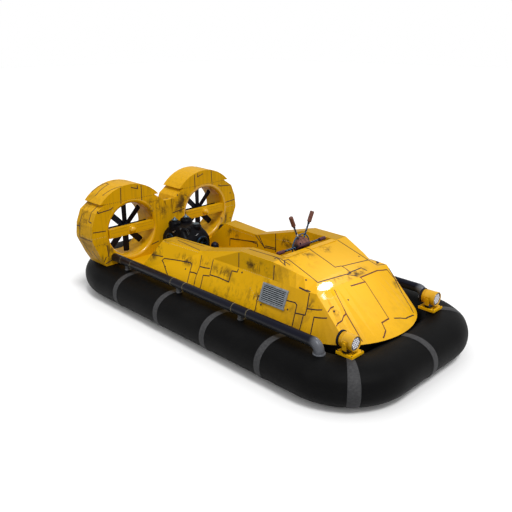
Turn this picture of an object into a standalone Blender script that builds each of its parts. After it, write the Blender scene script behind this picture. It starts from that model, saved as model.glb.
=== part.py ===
# Twin-fan hovercraft on an inflated skirt.
# Metres, +X forward, +Y port, +Z up. The origin is on the ground under the middle of the skirt.

import math

import bmesh
import bpy
from mathutils import Matrix, Vector

GAP = 0.0003            # seat between two pieces that touch

# Inflated skirt: a tube whose centre line is a rounded rectangle
TUBE_HALF_WIDTH = 0.26
TUBE_HALF_HEIGHT = 0.205
TUBE_SQUARENESS = 2.2   # exponent of the section's superellipse
TUBE_SIDE_Y = 0.926
TUBE_END_X = 2.18
TUBE_FRONT_RADIUS = 0.47
TUBE_REAR_RADIUS = 0.68
TUBE_CORNER_STEPS = 8
TUBE_SECTION_STEPS = 20
BAND_WIDTH = 0.078
BAND_PROUD = 0.002
BAND_EDGE = 0.0012
BAND_X = (-1.097, -0.306, 0.480, 1.268)
BAND_FIRST, BAND_LAST = -4, 6   # section steps that a band covers, counted from the outer side

# Hull
DECK_TOP = 0.410
DECK_UNDER = 0.3985
DECK_SIDE_Y = 0.76
DECK_REAR_X = -2.00
DECK_REAR_RADIUS = 0.45
BOW_X = 1.455           # where the deck's round front begins
BOW_LENGTH = 0.615
BELLY_BOTTOM = 0.10
BELLY_TO_TUBE = 0.0006
DECK_BASE = DECK_TOP + GAP

# Cockpit well in the hull
WELL_X = (-0.55, 1.36)
WELL_HALF_Y = 0.33
WELL_FLOOR = 0.16

# Starboard hull side, mirrored for port. Columns: x of the outer foot, x of the inner foot, x of the top,
# knuckle y and z, outer rail y and z, inner rail y and z
SIDE_STATIONS = (
    (-1.160, -1.330, -0.892, 0.595, 0.787, 0.586, 0.807, 0.403, 0.800),
    (-0.258, -0.258, -0.258, 0.535, 0.778, 0.523, 0.799, 0.345, 0.800),
    (0.000, 0.000, 0.000, 0.590, 0.790, 0.549, 0.867, 0.371, 0.868),
    (0.457, 0.457, 0.457, 0.600, 0.800, 0.596, 0.988, 0.415, 0.988),
    (0.905, 0.905, 0.905, 0.600, 0.800, 0.590, 0.985, 0.405, 0.990),
)

# Hood over the foot well. Columns: x, knuckle y, shoulder y and z, height of the middle
KNUCKLE_Z = 0.800
HOOD_STATIONS = (
    (0.905, 0.600, 0.590, 0.985, 0.990),
    (1.225, 0.600, 0.492, 0.893, 0.896),
    (1.340, 0.592, 0.430, 0.858, 0.862),
    (1.466, 0.577, 0.400, 0.800, 0.800),
)
HOOD_SPLITS = 4          # steps in the hood's first span, which twists the most
HOOD_LIP_X = 0.850
HOOD_SKIN = 0.034
HOOD_WALL_Y = 0.400
FOOT_WELL_END = 1.380
NOSE_X = HOOD_STATIONS[-1][0]
NOSE_CREASE_Y = HOOD_STATIONS[-1][1]
NOSE_CORNER_Y = 0.585   # where the nose's side edge meets the deck
NOSE_STEPS = 12
NOSE_CORNER_STEPS = 5

# Fans
FAN_X = (-1.88, -1.52)
FAN_Y = 0.600
FAN_Z = 0.801
DUCT_RADIUS = 0.578
DUCT_SHOULDER = 0.531   # radius at the step under the cap
DUCT_SPLIT_Z = 1.190
BORE_RADIUS = 0.338
BORE_STEPS = 40
BORE_OVERRUN = 0.05     # how far the cutter runs past the faces
LIP_RADIUS = 0.036
DUCT_FOOT_HALF = 0.412
DUCT_BOTTOM = DECK_BASE
WEB_X = (-1.60, -1.52)
WEB_TOP = 1.080
ROTOR_X = -1.690
ROTOR_RADIUS = 0.325
BLADES = 8
BLADE_ROOT = 0.02
BLADE_CHORD = 0.082
BLADE_THICK = 0.012
BLADE_PITCH = math.radians(10)
HUB_RADIUS = 0.055
HUB_REACH = (-0.045, 0.035)
SHAFT_RADIUS = 0.022
STRUT_X = (-1.585, -1.523)
STRUT_HALF_HEIGHT = 0.057
DOME_RADIUS = 0.045

# Side pipes
PIPE_Y = 0.890
PIPE_Z = 0.506
PIPE_RADIUS = 0.050
PIPE_ELBOW_X = 1.764
PIPE_BEND = 0.078
FLANGE_PROUD, FLANGE_THICK = 0.010, 0.014
STUBS = (("rear", -1.235), ("middle", -0.235), ("front", 0.755))
STUB_RADIUS = 0.030
TUBE_TOP = 2 * TUBE_HALF_HEIGHT
PIPE_FOOT = TUBE_TOP + GAP

# Head lamps
LAMP_Y = 0.697
LAMP_Z = 0.533
LAMP_X = (1.874, 2.024)
LAMP_RADIUS = 0.074
LAMP_RIM = 0.008        # wall round the lens
LAMP_RECESS = 0.012
LAMP_RING_THICK, LAMP_RING_PROUD = 0.020, 0.006
YOKE_HALF, YOKE_WALL = 0.022, 0.012
LAMP_BASE_X = (1.865, 2.046)
LAMP_BASE_Y = (0.605, 0.780)
LAMP_BASE_BAR = 0.026
LAMP_FOOT = TUBE_TOP + BAND_PROUD + GAP
LAMP_BASE_TOP = 0.436

# Vent on each flank
VENT_X = (0.815, 1.152)
VENT_Z = (0.571, 0.755)
VENT_THICK = 0.016
VENT_FRAME = 0.022
LOUVRES = 7

# Steering head on a raked column
STEER = Vector((0.772, 0.0, 0.986))
STEM_RADIUS, STEM_TOP = 0.018, 0.010
RAKE = math.radians(40)
BAR_RADIUS = 0.012
BAR_HALF = 0.286
GRIP_END = 0.383
GRIP_RADIUS = 0.019
LEVER_X = 0.757
LEVER_RADIUS = 0.0095
LEVER_GRIP_RADIUS = 0.023
LEVER_FOOT = (0.010, 0.990)     # y and z
LEVER_TOP = (0.173, 1.329)
LEVER_ROD = 0.68                # share of the lever that is bare rod
HOOP_HALF = 0.132
HOOP_FOOT = 0.935
HOOP_TOP = 1.110
HOOP_RADIUS = 0.007
PAD_LEVELS = (              # height along the column, half size along the bar and across it
    (-0.035, 0.084, 0.070),
    (-0.015, 0.106, 0.088),
    (0.045, 0.097, 0.080),
    (0.095, 0.046, 0.036),
)
COLUMN_START, COLUMN_END = 0.060, 0.430
COLUMN_RADIUS = 0.024
BEAM_AT = 0.250
BEAM_HALF = (0.020, 0.030)  # along X and Z

# Engine
ENGINE_LEVELS = (           # z, rear x, front x, half width
    (DECK_BASE, -1.46, -0.95, 0.210),
    (0.660, -1.46, -0.95, 0.210),
    (0.755, -1.40, -1.05, 0.178),
    (0.812, -1.33, -1.09, 0.132),
)
LOBES = (                   # x, y, radius, top z
    (-1.31, 0.093, 0.081, 0.853),
    (-1.10, 0.086, 0.070, 0.815),
)
LOBE_FOOT = 0.700
LOBE_SHOULDER = ((-0.032, 1.0), (-0.010, 0.90), (0.0, 0.66))    # height from the top, share of the radius
CAP_OUTLINE = (             # height and radius of the pointed cap on a rear lobe
    (0.000, 0.028), (0.012, 0.028), (0.012, 0.041), (0.018, 0.041), (0.019, 0.029), (0.052, 0.004),
)
PLUG_OUTLINE = ((0.000, 0.040), (0.002, 0.045), (0.009, 0.045), (0.012, 0.041))
PULLEY_RADIUS, PULLEY_BORE, PULLEY_THICK = 0.100, 0.055, 0.030
PULLEY_Y, PULLEY_Z = 0.045, 0.600
FILTER_PLACE = (-0.870, 0.200, DECK_BASE)
FILTER_OUTLINE = ((0.0, 0.050), (0.145, 0.050), (0.170, 0.036), (0.190, 0.012))

# Seat
SEAT_X = (-0.45, 0.15)
SEAT_HALF_Y = 0.165
SEAT_TOP = 0.550
CUSHION = 0.095

COLOURS = {                 # base colour, roughness, metallic
    "yellow_paint": ((0.80, 0.45, 0.01), 0.45, 0.0),
    "skirt_rubber": ((0.012, 0.012, 0.013), 0.60, 0.0),
    "dark_metal": ((0.010, 0.011, 0.030), 0.40, 0.6),
    "pipe_metal": ((0.060, 0.060, 0.065), 0.30, 0.8),
    "engine_black": ((0.006, 0.006, 0.008), 0.35, 0.3),
    "steel_blue": ((0.05, 0.14, 0.24), 0.30, 0.7),
    "vent_grey": ((0.28, 0.34, 0.42), 0.50, 0.2),
    "brown_leather": ((0.14, 0.05, 0.035), 0.60, 0.0),
    "lamp_glass": ((0.75, 0.75, 0.80), 0.10, 0.0),
    "black_vinyl": ((0.015, 0.015, 0.016), 0.50, 0.0),
}


def clear_scene():
    """Empty the scene of the objects it opened with."""
    for thing in list(bpy.data.objects):
        bpy.data.objects.remove(thing, do_unlink=True)


def material(name):
    """A Principled material from the table of colours, made once."""
    if name in bpy.data.materials:
        return bpy.data.materials[name]
    colour, roughness, metallic = COLOURS[name]
    made = bpy.data.materials.new(name)
    made.use_nodes = True
    shader = made.node_tree.nodes["Principled BSDF"]
    shader.inputs["Base Color"].default_value = (*colour, 1.0)
    shader.inputs["Roughness"].default_value = roughness
    shader.inputs["Metallic"].default_value = metallic
    return made


def solid(name, points, faces, colour=None, smooth=None):
    """An object from points and faces, its faces turned to point out."""
    mesh = bpy.data.meshes.new(name)
    work = bmesh.new()
    corners = [work.verts.new(point) for point in points]
    for face in faces:
        work.faces.new([corners[i] for i in face])
    bmesh.ops.recalc_face_normals(work, faces=work.faces)
    work.to_mesh(mesh)
    work.free()
    thing = bpy.data.objects.new(name, mesh)
    bpy.context.scene.collection.objects.link(thing)
    if colour:
        mesh.materials.append(material(colour))
    if smooth:
        mesh.shade_smooth()
        mesh.set_sharp_from_angle(angle=math.radians(smooth))
    return thing


def loft(name, loops, colour=None, smooth=None, ring=False):
    """A skin over loops of equal length. The ends are capped, or joined where ring is set."""
    count = len(loops[0])
    points = [point for loop in loops for point in loop]
    faces = []
    spans = len(loops) if ring else len(loops) - 1
    for i in range(spans):
        here, there = i * count, (i + 1) % len(loops) * count
        for j in range(count):
            k = (j + 1) % count
            faces.append((here + j, here + k, there + k, there + j))
    if not ring:
        faces.append(tuple(range(count)))
        faces.append(tuple(range(len(points) - count, len(points))))
    return solid(name, points, faces, colour, smooth)


def box(name, low, high, colour=None):
    """A block between two corners."""
    loops = []
    for z in (low[2], high[2]):
        corners = ((low[0], low[1]), (high[0], low[1]), (high[0], high[1]), (low[0], high[1]))
        loops.append([(x, y, z) for x, y in corners])
    return loft(name, loops, colour)


def rod(name, start, end, radius, steps=16, colour=None, smooth=40):
    """A round bar between two points."""
    start, end = Vector(start), Vector(end)
    turn = (end - start).to_track_quat("Z", "Y").to_matrix()
    loops = []
    for centre in (start, end):
        ring = []
        for i in range(steps):
            angle = 2 * math.pi * i / steps
            ring.append(centre + turn @ Vector((radius * math.cos(angle), radius * math.sin(angle), 0)))
        loops.append(ring)
    return loft(name, loops, colour, smooth)


def swept_tube(name, path, radius, steps=14, colour=None, smooth=50):
    """A round tube along a path that lies in one plane."""
    path = [Vector(point) for point in path]
    normal = Vector((0, 0, 0))
    for a, b, c in zip(path, path[1:], path[2:]):
        normal += (b - a).cross(c - b)
    normal.normalize()
    loops = []
    for i, point in enumerate(path):
        before = (point - path[i - 1]).normalized() if i else None
        after = (path[i + 1] - point).normalized() if i + 1 < len(path) else None
        ahead = ((before or after) + (after or before)).normalized()
        side = ahead.cross(normal).normalized()
        stretch = 1 / max(0.5, side.dot((after or before).cross(normal).normalized()))
        ring = []
        for j in range(steps):
            angle = 2 * math.pi * j / steps
            out = side * stretch * math.cos(angle) + normal * math.sin(angle)
            ring.append(point + out * radius)
        loops.append(ring)
    return loft(name, loops, colour, smooth)


def lathe(name, profile, centre, steps=32, colour=None, smooth=40):
    """A closed outline of (along X, radius) pairs turned about an axis along X."""
    rings = [ring_at((centre[0] + along, centre[1], centre[2]), radius, steps) for along, radius in profile]
    return loft(name, rings, colour, smooth, ring=True)


def upright(name, foot, outline, steps=16, colour=None, smooth=40):
    """A piece turned about a vertical axis, from (height above its foot, radius) pairs."""
    loops = []
    for height, radius in outline:
        ring = []
        for i in range(steps):
            angle = 2 * math.pi * i / steps
            ring.append((foot[0] + radius * math.cos(angle), foot[1] + radius * math.sin(angle), foot[2] + height))
        loops.append(ring)
    return loft(name, loops, colour, smooth)


def ring_at(centre, radius, steps):
    """Points of a circle that faces along X."""
    ring = []
    for i in range(steps):
        angle = 2 * math.pi * i / steps
        ring.append((centre[0], centre[1] + radius * math.cos(angle), centre[2] + radius * math.sin(angle)))
    return ring


def combine(body, others, how):
    """Unite, subtract or intersect other solids with a body, and delete them."""
    for other in others:
        step = body.modifiers.new("combine", "BOOLEAN")
        step.operation = how
        step.solver = "EXACT"
        step.object = other
        other.hide_render = True
        other.display_type = "WIRE"
        graph = bpy.context.evaluated_depsgraph_get()
        made = bpy.data.meshes.new_from_object(body.evaluated_get(graph))
        body.modifiers.clear()
        body.data = made
        bpy.data.objects.remove(other, do_unlink=True)
    return body


def unite(body, *others):
    return combine(body, others, "UNION")


def subtract(body, *others):
    return combine(body, others, "DIFFERENCE")


def finish(thing, colour, smooth=None):
    """Give a combined solid its one material and its shading."""
    thing.data.materials.clear()
    thing.data.materials.append(material(colour))
    if smooth:
        thing.data.shade_smooth()
        thing.data.set_sharp_from_angle(angle=math.radians(smooth))
    return thing


def sides():
    """Starboard and port, with the sign of their Y."""
    return (("starboard", -1), ("port", 1))


def tube_path(inset=0.0):
    """Stations along the skirt's centre line, moved inwards by inset: point and outward normal."""
    side, end = TUBE_SIDE_Y - inset, TUBE_END_X - inset
    front, rear = TUBE_FRONT_RADIUS - inset, TUBE_REAR_RADIUS - inset
    corners = (             # centre x, centre y, radius, first angle
        (end - front, side - front, front, 0),
        (-end + rear, side - rear, rear, 90),
        (-end + rear, -side + rear, rear, 180),
        (end - front, -side + front, front, 270),
    )
    stations = []
    for x, y, radius, first in corners:
        for i in range(TUBE_CORNER_STEPS + 1):
            angle = math.radians(first + 90 * i / TUBE_CORNER_STEPS)
            normal = Vector((math.cos(angle), math.sin(angle), 0))
            stations.append((Vector((x, y, 0)) + normal * radius, normal))
    return stations


def band_middles():
    """The places along the centre line where a band goes round the tube, as points."""
    middles = [(x, TUBE_SIDE_Y * sign) for x in BAND_X for sign in (-1, 1)]
    middles += [(TUBE_END_X, 0.0), (-TUBE_END_X, 0.0)]
    reach = TUBE_FRONT_RADIUS * math.sqrt(0.5)
    for sign in (-1, 1):
        x = TUBE_END_X - TUBE_FRONT_RADIUS + reach
        middles.append((x, sign * (TUBE_SIDE_Y - TUBE_FRONT_RADIUS + reach)))
    return [Vector((x, y, 0)) for x, y in middles]


def skirt_section(point, normal, proud):
    """One closed section of the tube, raised by proud where a band lies on it."""
    loop = []
    for i in range(TUBE_SECTION_STEPS):
        angle = 2 * math.pi * i / TUBE_SECTION_STEPS
        c, s = math.cos(angle), math.sin(angle)
        step = i if i <= TUBE_SECTION_STEPS // 2 else i - TUBE_SECTION_STEPS
        raised = proud if BAND_FIRST <= step <= BAND_LAST else 0.0
        out = math.copysign(abs(c) ** (2 / TUBE_SQUARENESS), c) * (TUBE_HALF_WIDTH + raised)
        up = math.copysign(abs(s) ** (2 / TUBE_SQUARENESS), s) * (TUBE_HALF_HEIGHT + raised)
        loop.append(point + normal * out + Vector((0, 0, TUBE_HALF_HEIGHT + up)))
    return loop


def nearest_length(spans, middle):
    """How far along the centre line its nearest place to a point lies."""
    best = None
    for start, span, here, there in spans:
        share = (middle - here[0]).dot(there[0] - here[0]) / span ** 2
        share = max(0.0, min(1.0, share))
        away = (here[0].lerp(there[0], share) - middle).length
        if best is None or away < best[0]:
            best = (away, start + share * span)
    return best[1]


def skirt():
    """The inflated tube with its bands as low ribs."""
    stations = tube_path()
    spans = []              # length so far, length of the span, the stations at its ends
    length = 0.0
    for here, there in zip(stations, stations[1:] + stations[:1]):
        span = (there[0] - here[0]).length
        spans.append((length, span, here, there))
        length += span
    places = [(start, 0.0) for start, _, _, _ in spans]
    half = BAND_WIDTH / 2
    edges = ((-half - BAND_EDGE, 0.0), (-half, BAND_PROUD), (half, BAND_PROUD), (half + BAND_EDGE, 0.0))
    for middle in band_middles():
        at = nearest_length(spans, middle)
        places = [(place, BAND_PROUD if abs(place - at) < half else height) for place, height in places]
        places += [((at + offset) % length, height) for offset, height in edges]
    loops = []
    for place, height in sorted(places):
        start, span, here, there = [item for item in spans if item[0] <= place][-1]
        share = (place - start) / span
        normal = here[1].lerp(there[1], share).normalized()
        loops.append(skirt_section(here[0].lerp(there[0], share), normal, height))
    return loft("skirt", loops, "skirt_rubber", smooth=35, ring=True)


def bow_arc(from_angle, to_angle, steps):
    """Points of the deck's round front. The angle is 0 at the nose and 90 degrees at port."""
    points = []
    for i in range(steps + 1):
        angle = from_angle + (to_angle - from_angle) * i / steps
        points.append((BOW_X + BOW_LENGTH * math.cos(angle), DECK_SIDE_Y * math.sin(angle)))
    return points


def deck_outline():
    """The deck plate's outline, counter-clockwise from above."""
    outline = bow_arc(-math.pi / 2, math.pi / 2, 28)
    for sign, first in ((1, 90), (-1, 180)):
        radius = DECK_REAR_RADIUS
        x, y = DECK_REAR_X + radius, sign * (DECK_SIDE_Y - radius)
        for i in range(7):
            angle = math.radians(first + 90 * i / 6)
            outline.append((x + radius * math.cos(angle), y + radius * math.sin(angle)))
    return outline


def hull_base():
    """Deck plate over a belly that fills the skirt's ring, with the cockpit well let into both."""
    plate = loft("hull_base", [[(x, y, z) for x, y in deck_outline()] for z in (DECK_UNDER, DECK_TOP)])
    inner = tube_path(TUBE_HALF_WIDTH + BELLY_TO_TUBE)
    belly = loft("belly", [[(p.x, p.y, z) for p, _ in inner] for z in (BELLY_BOTTOM, DECK_UNDER + 0.005)])
    levels = (BELLY_BOTTOM - 0.1, DECK_TOP + 0.1)
    trim = loft("trim", [[(x, y, z) for x, y in deck_outline()] for z in levels])
    belly = combine(belly, [trim], "INTERSECT")
    unite(plate, belly)
    well = box("well", (WELL_X[0], -WELL_HALF_Y, WELL_FLOOR), (WELL_X[1], WELL_HALF_Y, DECK_TOP + 0.1))
    return finish(subtract(plate, well), "yellow_paint")


def hull_side(name, sign):
    """One side of the hull: the flared flank, the knuckle, the rail and the cockpit's inner wall."""
    loops = []
    for foot_x, inner_x, top_x, knuckle_y, knuckle_z, outer_y, outer_z, inner_y, inner_z in SIDE_STATIONS:
        knuckle_x = top_x + (foot_x - top_x) * (outer_z - knuckle_z) / (outer_z - DECK_BASE)
        loops.append([
            (foot_x, sign * DECK_SIDE_Y, DECK_BASE),
            (knuckle_x, sign * knuckle_y, knuckle_z),
            (top_x, sign * outer_y, outer_z),
            (top_x, sign * inner_y, inner_z),
            (inner_x, sign * inner_y, DECK_BASE),
        ])
    return loft(name, loops, "yellow_paint")


def hood_rows():
    """The hood's stations, with the first span cut into equal steps."""
    first, second = HOOD_STATIONS[:2]
    rows = []
    for i in range(HOOD_SPLITS):
        rows.append(tuple(a + (b - a) * i / HOOD_SPLITS for a, b in zip(first, second)))
    return rows + list(HOOD_STATIONS[1:])


def hood():
    """The front of the hull over the foot well, open to the cockpit at its rear."""
    loops = []
    for i, (x, knuckle_y, shoulder_y, shoulder_z, middle_z) in enumerate(hood_rows()):
        x += GAP if i == 0 else 0.0
        half = [(DECK_SIDE_Y, DECK_BASE), (knuckle_y, KNUCKLE_Z), (shoulder_y, shoulder_z)]
        outline = half + [(0.0, middle_z)] + [(-y, z) for y, z in reversed(half)]
        loops.append([(x, y, z) for y, z in outline])
    body = loft("hood", loops)
    rear_x, _, _, _, rear_z = HOOD_STATIONS[0]
    lip_half = HOOD_WALL_Y - 0.002
    lip = box("lip", (HOOD_LIP_X, -lip_half, rear_z - HOOD_SKIN), (rear_x + 0.02, lip_half, rear_z - 0.001))
    slope = (HOOD_STATIONS[2][4] - rear_z) / (HOOD_STATIONS[2][0] - rear_x)
    end_z = rear_z - HOOD_SKIN + slope * (FOOT_WELL_END - rear_x)
    outline = [
        (HOOD_LIP_X - 0.1, DECK_BASE - 0.1),
        (FOOT_WELL_END, DECK_BASE - 0.1),
        (FOOT_WELL_END, end_z),
        (rear_x, rear_z - HOOD_SKIN),
        (HOOD_LIP_X - 0.1, rear_z - HOOD_SKIN),
    ]
    hollow = loft("hollow", [[(x, y, z) for x, z in outline] for y in (-HOOD_WALL_Y, HOOD_WALL_Y)])
    subtract(body, hollow)
    return finish(unite(body, lip), "yellow_paint")


def nose():
    """The bow plate: straight lines from the hood's crease to the deck's round front."""
    corner = math.asin(NOSE_CORNER_Y / DECK_SIDE_Y)
    crease = (NOSE_X + GAP, NOSE_CREASE_Y, KNUCKLE_Z)
    side_end = math.acos((NOSE_X + GAP - BOW_X) / BOW_LENGTH)
    low = bow_arc(-side_end, -corner, NOSE_CORNER_STEPS)
    low += bow_arc(-corner, corner, NOSE_STEPS)[1:]
    low += bow_arc(corner, side_end, NOSE_CORNER_STEPS)[1:]
    points = [(x, y, DECK_BASE) for x, y in low]
    base = len(points)
    for i in range(NOSE_STEPS + 1):
        points.append((crease[0], crease[1] * (2 * i / NOSE_STEPS - 1), crease[2]))
    faces = []
    for i in range(NOSE_CORNER_STEPS):
        faces.append((i, i + 1, base))
        last = base - 1 - i
        faces.append((last - 1, last, base + NOSE_STEPS))
    for i in range(NOSE_STEPS):
        foot = NOSE_CORNER_STEPS + i
        faces.append((foot, foot + 1, base + i + 1, base + i))
    faces.append(tuple(range(base)))
    faces.append((0, *range(base, base + NOSE_STEPS + 1), base - 1))
    return solid("nose", points, faces, "yellow_paint")


def duct_outline():
    """The duct's outline about its own axis: round above, tapered to a flat foot below."""
    outline = []
    split = DUCT_SPLIT_Z - FAN_Z
    shoulder_y = math.sqrt(DUCT_SHOULDER ** 2 - split ** 2)
    shoulder = math.atan2(split, shoulder_y)
    for share in (0.0, 0.35, 0.7, 1.0):
        angle = shoulder * (1 - share)
        swell = DUCT_SHOULDER + (DUCT_RADIUS - DUCT_SHOULDER) * min(1.0, 3 * share)
        outline.append((swell * math.cos(angle), swell * math.sin(angle)))
    outline += [(0.577, -0.040), (0.481, -0.263), (DUCT_FOOT_HALF, DUCT_BOTTOM - FAN_Z)]
    return outline + [(-y, z) for y, z in reversed(outline)]


def bore_cutter(centre):
    """The bore with its rolled front lip, as a solid to take away."""
    outline = [(FAN_X[0] - FAN_X[1] - BORE_OVERRUN, BORE_RADIUS), (-LIP_RADIUS, BORE_RADIUS)]
    for degrees in (30, 60, 90):
        angle = math.radians(degrees)
        along = -LIP_RADIUS + LIP_RADIUS * math.sin(angle)
        outline.append((along, BORE_RADIUS + LIP_RADIUS * (1 - math.cos(angle))))
    outline.append((BORE_OVERRUN, BORE_RADIUS + LIP_RADIUS))
    loops = [ring_at(centre + Vector((along, 0, 0)), radius, BORE_STEPS) for along, radius in outline]
    return loft("bore", loops)


def duct(name, sign):
    """The duct below its cap."""
    outline = [(sign * FAN_Y + y, FAN_Z + z) for y, z in duct_outline()]
    body = loft(name, [[(x, y, z) for y, z in outline] for x in FAN_X])
    subtract(body, bore_cutter(Vector((FAN_X[1], sign * FAN_Y, FAN_Z))))
    return finish(body, "yellow_paint", smooth=30)


def duct_cap(name, sign):
    """The cap over the duct: a segment of the same circle, above the split."""
    split = DUCT_SPLIT_Z + GAP - FAN_Z
    end = math.asin(split / DUCT_RADIUS)
    outline = []
    for i in range(13):
        angle = end + (math.pi - 2 * end) * i / 12
        outline.append((sign * FAN_Y + DUCT_RADIUS * math.cos(angle), FAN_Z + DUCT_RADIUS * math.sin(angle)))
    return loft(name, [[(x, y, z) for y, z in outline] for x in FAN_X], "yellow_paint", smooth=30)


def fan_web():
    """The plate that fills the space between the two ducts."""
    half = []
    top = WEB_TOP - FAN_Z
    reach = FAN_Y - GAP
    for y, z in duct_outline()[:7]:
        if z < top:
            half.append((reach - y, z))
    crown = math.sqrt(DUCT_RADIUS ** 2 - top ** 2)
    half = [(reach - crown - 0.004, top)] + half
    outline = [(y, FAN_Z + z) for y, z in half] + [(-y, FAN_Z + z) for y, z in reversed(half)]
    return loft("fan_web", [[(x, y, z) for y, z in outline] for x in WEB_X], "yellow_paint")


def fan_strut(name, sign):
    """The bar across the duct's mouth, with a round boss in its middle."""
    half = STRUT_HALF_HEIGHT
    reach = math.sqrt((BORE_RADIUS - 0.001) ** 2 - half ** 2) - GAP     # the bore's flats lie 1 mm in
    y = sign * FAN_Y
    bar = box(name, (STRUT_X[0], y - reach, FAN_Z - half), (STRUT_X[1], y + reach, FAN_Z + half))
    dome = [(STRUT_X[1] - 0.03, DOME_RADIUS)]
    for i in range(5):
        angle = math.radians(90 * i / 4)
        dome.append((STRUT_X[1] + DOME_RADIUS * math.sin(angle), max(0.0015, DOME_RADIUS * math.cos(angle))))
    loops = [ring_at((x, y, FAN_Z), radius, 16) for x, radius in dome]
    return finish(unite(bar, loft("dome", loops)), "yellow_paint", smooth=35)


def rotor(name, sign):
    """Eight flat blades on a hub, with the shaft that runs into the strut. Its origin is on the axis."""
    hub = rod(name, (HUB_REACH[0], 0, 0), (HUB_REACH[1], 0, 0), HUB_RADIUS)
    shaft_end = STRUT_X[0] - GAP - ROTOR_X
    unite(hub, rod("shaft", (0.0, 0, 0), (shaft_end, 0, 0), SHAFT_RADIUS, 12))
    for i in range(BLADES):
        thick, chord = BLADE_THICK / 2, BLADE_CHORD / 2
        blade = box("blade", (-thick, -chord, BLADE_ROOT), (thick, chord, ROTOR_RADIUS))
        turn = Matrix.Rotation(2 * math.pi * i / BLADES, 4, "X") @ Matrix.Rotation(BLADE_PITCH, 4, "Z")
        blade.data.transform(turn)
        unite(hub, blade)
    finish(hub, "dark_metal", smooth=30)
    hub.location = (ROTOR_X, sign * FAN_Y, FAN_Z)
    return hub


def pipe_line(sign):
    """The side pipe's middle line: a straight run, then a bend down to the skirt."""
    y = sign * PIPE_Y
    path = [(FAN_X[1] + GAP, y, PIPE_Z)]
    for degrees in (0, 18, 36, 54, 72, 90):
        angle = math.radians(degrees)
        x = PIPE_ELBOW_X - PIPE_BEND + PIPE_BEND * math.sin(angle)
        path.append((x, y, PIPE_Z - PIPE_BEND + PIPE_BEND * math.cos(angle)))
    return path + [(PIPE_ELBOW_X, y, PIPE_FOOT + FLANGE_THICK / 2)]


def side_pipe(name, sign):
    """The air pipe along the skirt, with a flange where its elbow stands on the tube."""
    pipe = swept_tube(name, pipe_line(sign), PIPE_RADIUS)
    foot = Vector((PIPE_ELBOW_X, sign * PIPE_Y, PIPE_FOOT))
    unite(pipe, rod("flange", foot, foot + Vector((0, 0, FLANGE_THICK)), PIPE_RADIUS + FLANGE_PROUD, 20))
    return finish(pipe, "pipe_metal", smooth=40)


def pipe_stub(name, x, sign):
    """A short stub that carries the pipe on the skirt, its top hollowed to the pipe's round."""
    stub = rod(name, (x, sign * PIPE_Y, PIPE_FOOT), (x, sign * PIPE_Y, PIPE_Z), STUB_RADIUS, 14)
    subtract(stub, swept_tube("saddle", pipe_line(sign), PIPE_RADIUS + GAP))
    return finish(stub, "pipe_metal", smooth=40)


def lamp(side, sign):
    """Lamp on the skirt's front corner: open base, yoke, housing with its rear ring, and lens."""
    y = sign * LAMP_Y
    rear, front = LAMP_X
    start, end = Vector((rear, y, LAMP_Z)), Vector((front, y, LAMP_Z))
    ahead = Vector((1, 0, 0))
    housing = rod(f"lamp_housing_{side}", start, end, LAMP_RADIUS, 24)
    bed = end - ahead * LAMP_RECESS
    subtract(housing, rod("recess", bed, end + ahead * LAMP_RECESS, LAMP_RADIUS - LAMP_RIM, 24))
    finish(housing, "yellow_paint", smooth=40)
    ring_radius = LAMP_RADIUS + LAMP_RING_PROUD
    ring_start = start - ahead * LAMP_RING_THICK
    rod(f"lamp_ring_{side}", ring_start, start - ahead * GAP, ring_radius, 24, "dark_metal")
    lens_radius = LAMP_RADIUS - LAMP_RIM - 2 * GAP
    rod(f"lamp_lens_{side}", bed + ahead * GAP, end - ahead * 0.002, lens_radius, 24, "lamp_glass")
    lamp_base(side, sign)
    middle_x = (LAMP_BASE_X[0] + LAMP_BASE_X[1]) / 2
    arm = LAMP_RADIUS + 2 * GAP
    foot = LAMP_BASE_TOP + GAP
    reach = arm + YOKE_WALL
    low, high = middle_x - YOKE_HALF, middle_x + YOKE_HALF
    yoke = box(f"lamp_yoke_{side}", (low, y - reach, foot), (high, y + reach, LAMP_Z + 0.02))
    subtract(yoke, box("gap", (low - 0.1, y - arm, foot + YOKE_WALL), (high + 0.1, y + arm, LAMP_Z + 0.1)))
    finish(yoke, "yellow_paint")


def lamp_base(side, sign):
    """The lamp's base: a square frame crossed by two bars, with a disc in its middle."""
    low_x, high_x = LAMP_BASE_X
    low_y, high_y = sorted((sign * LAMP_BASE_Y[0], sign * LAMP_BASE_Y[1]))
    bar = LAMP_BASE_BAR
    base = box(f"lamp_base_{side}", (low_x, low_y, LAMP_FOOT), (high_x, high_y, LAMP_BASE_TOP))
    subtract(base, box("gap", (low_x + bar, low_y + bar, 0.3), (high_x - bar, high_y - bar, 0.6)))
    middle = Vector(((low_x + high_x) / 2, (low_y + high_y) / 2, 0))
    spread = math.hypot(high_x - low_x, high_y - low_y) / 2 - bar * 0.7
    for degrees in (45, -45):
        cross = box("cross", (-spread, -0.011, LAMP_FOOT + 0.001), (spread, 0.011, LAMP_BASE_TOP - 0.001))
        cross.data.transform(Matrix.Translation(middle) @ Matrix.Rotation(math.radians(degrees), 4, "Z"))
        unite(base, cross)
    disc_foot = Vector((middle.x, sign * LAMP_Y, LAMP_FOOT + 0.0015))
    disc = rod("disc", disc_foot, (disc_foot.x, disc_foot.y, LAMP_BASE_TOP), 0.042, 16)
    return finish(unite(base, disc), "yellow_paint")


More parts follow.
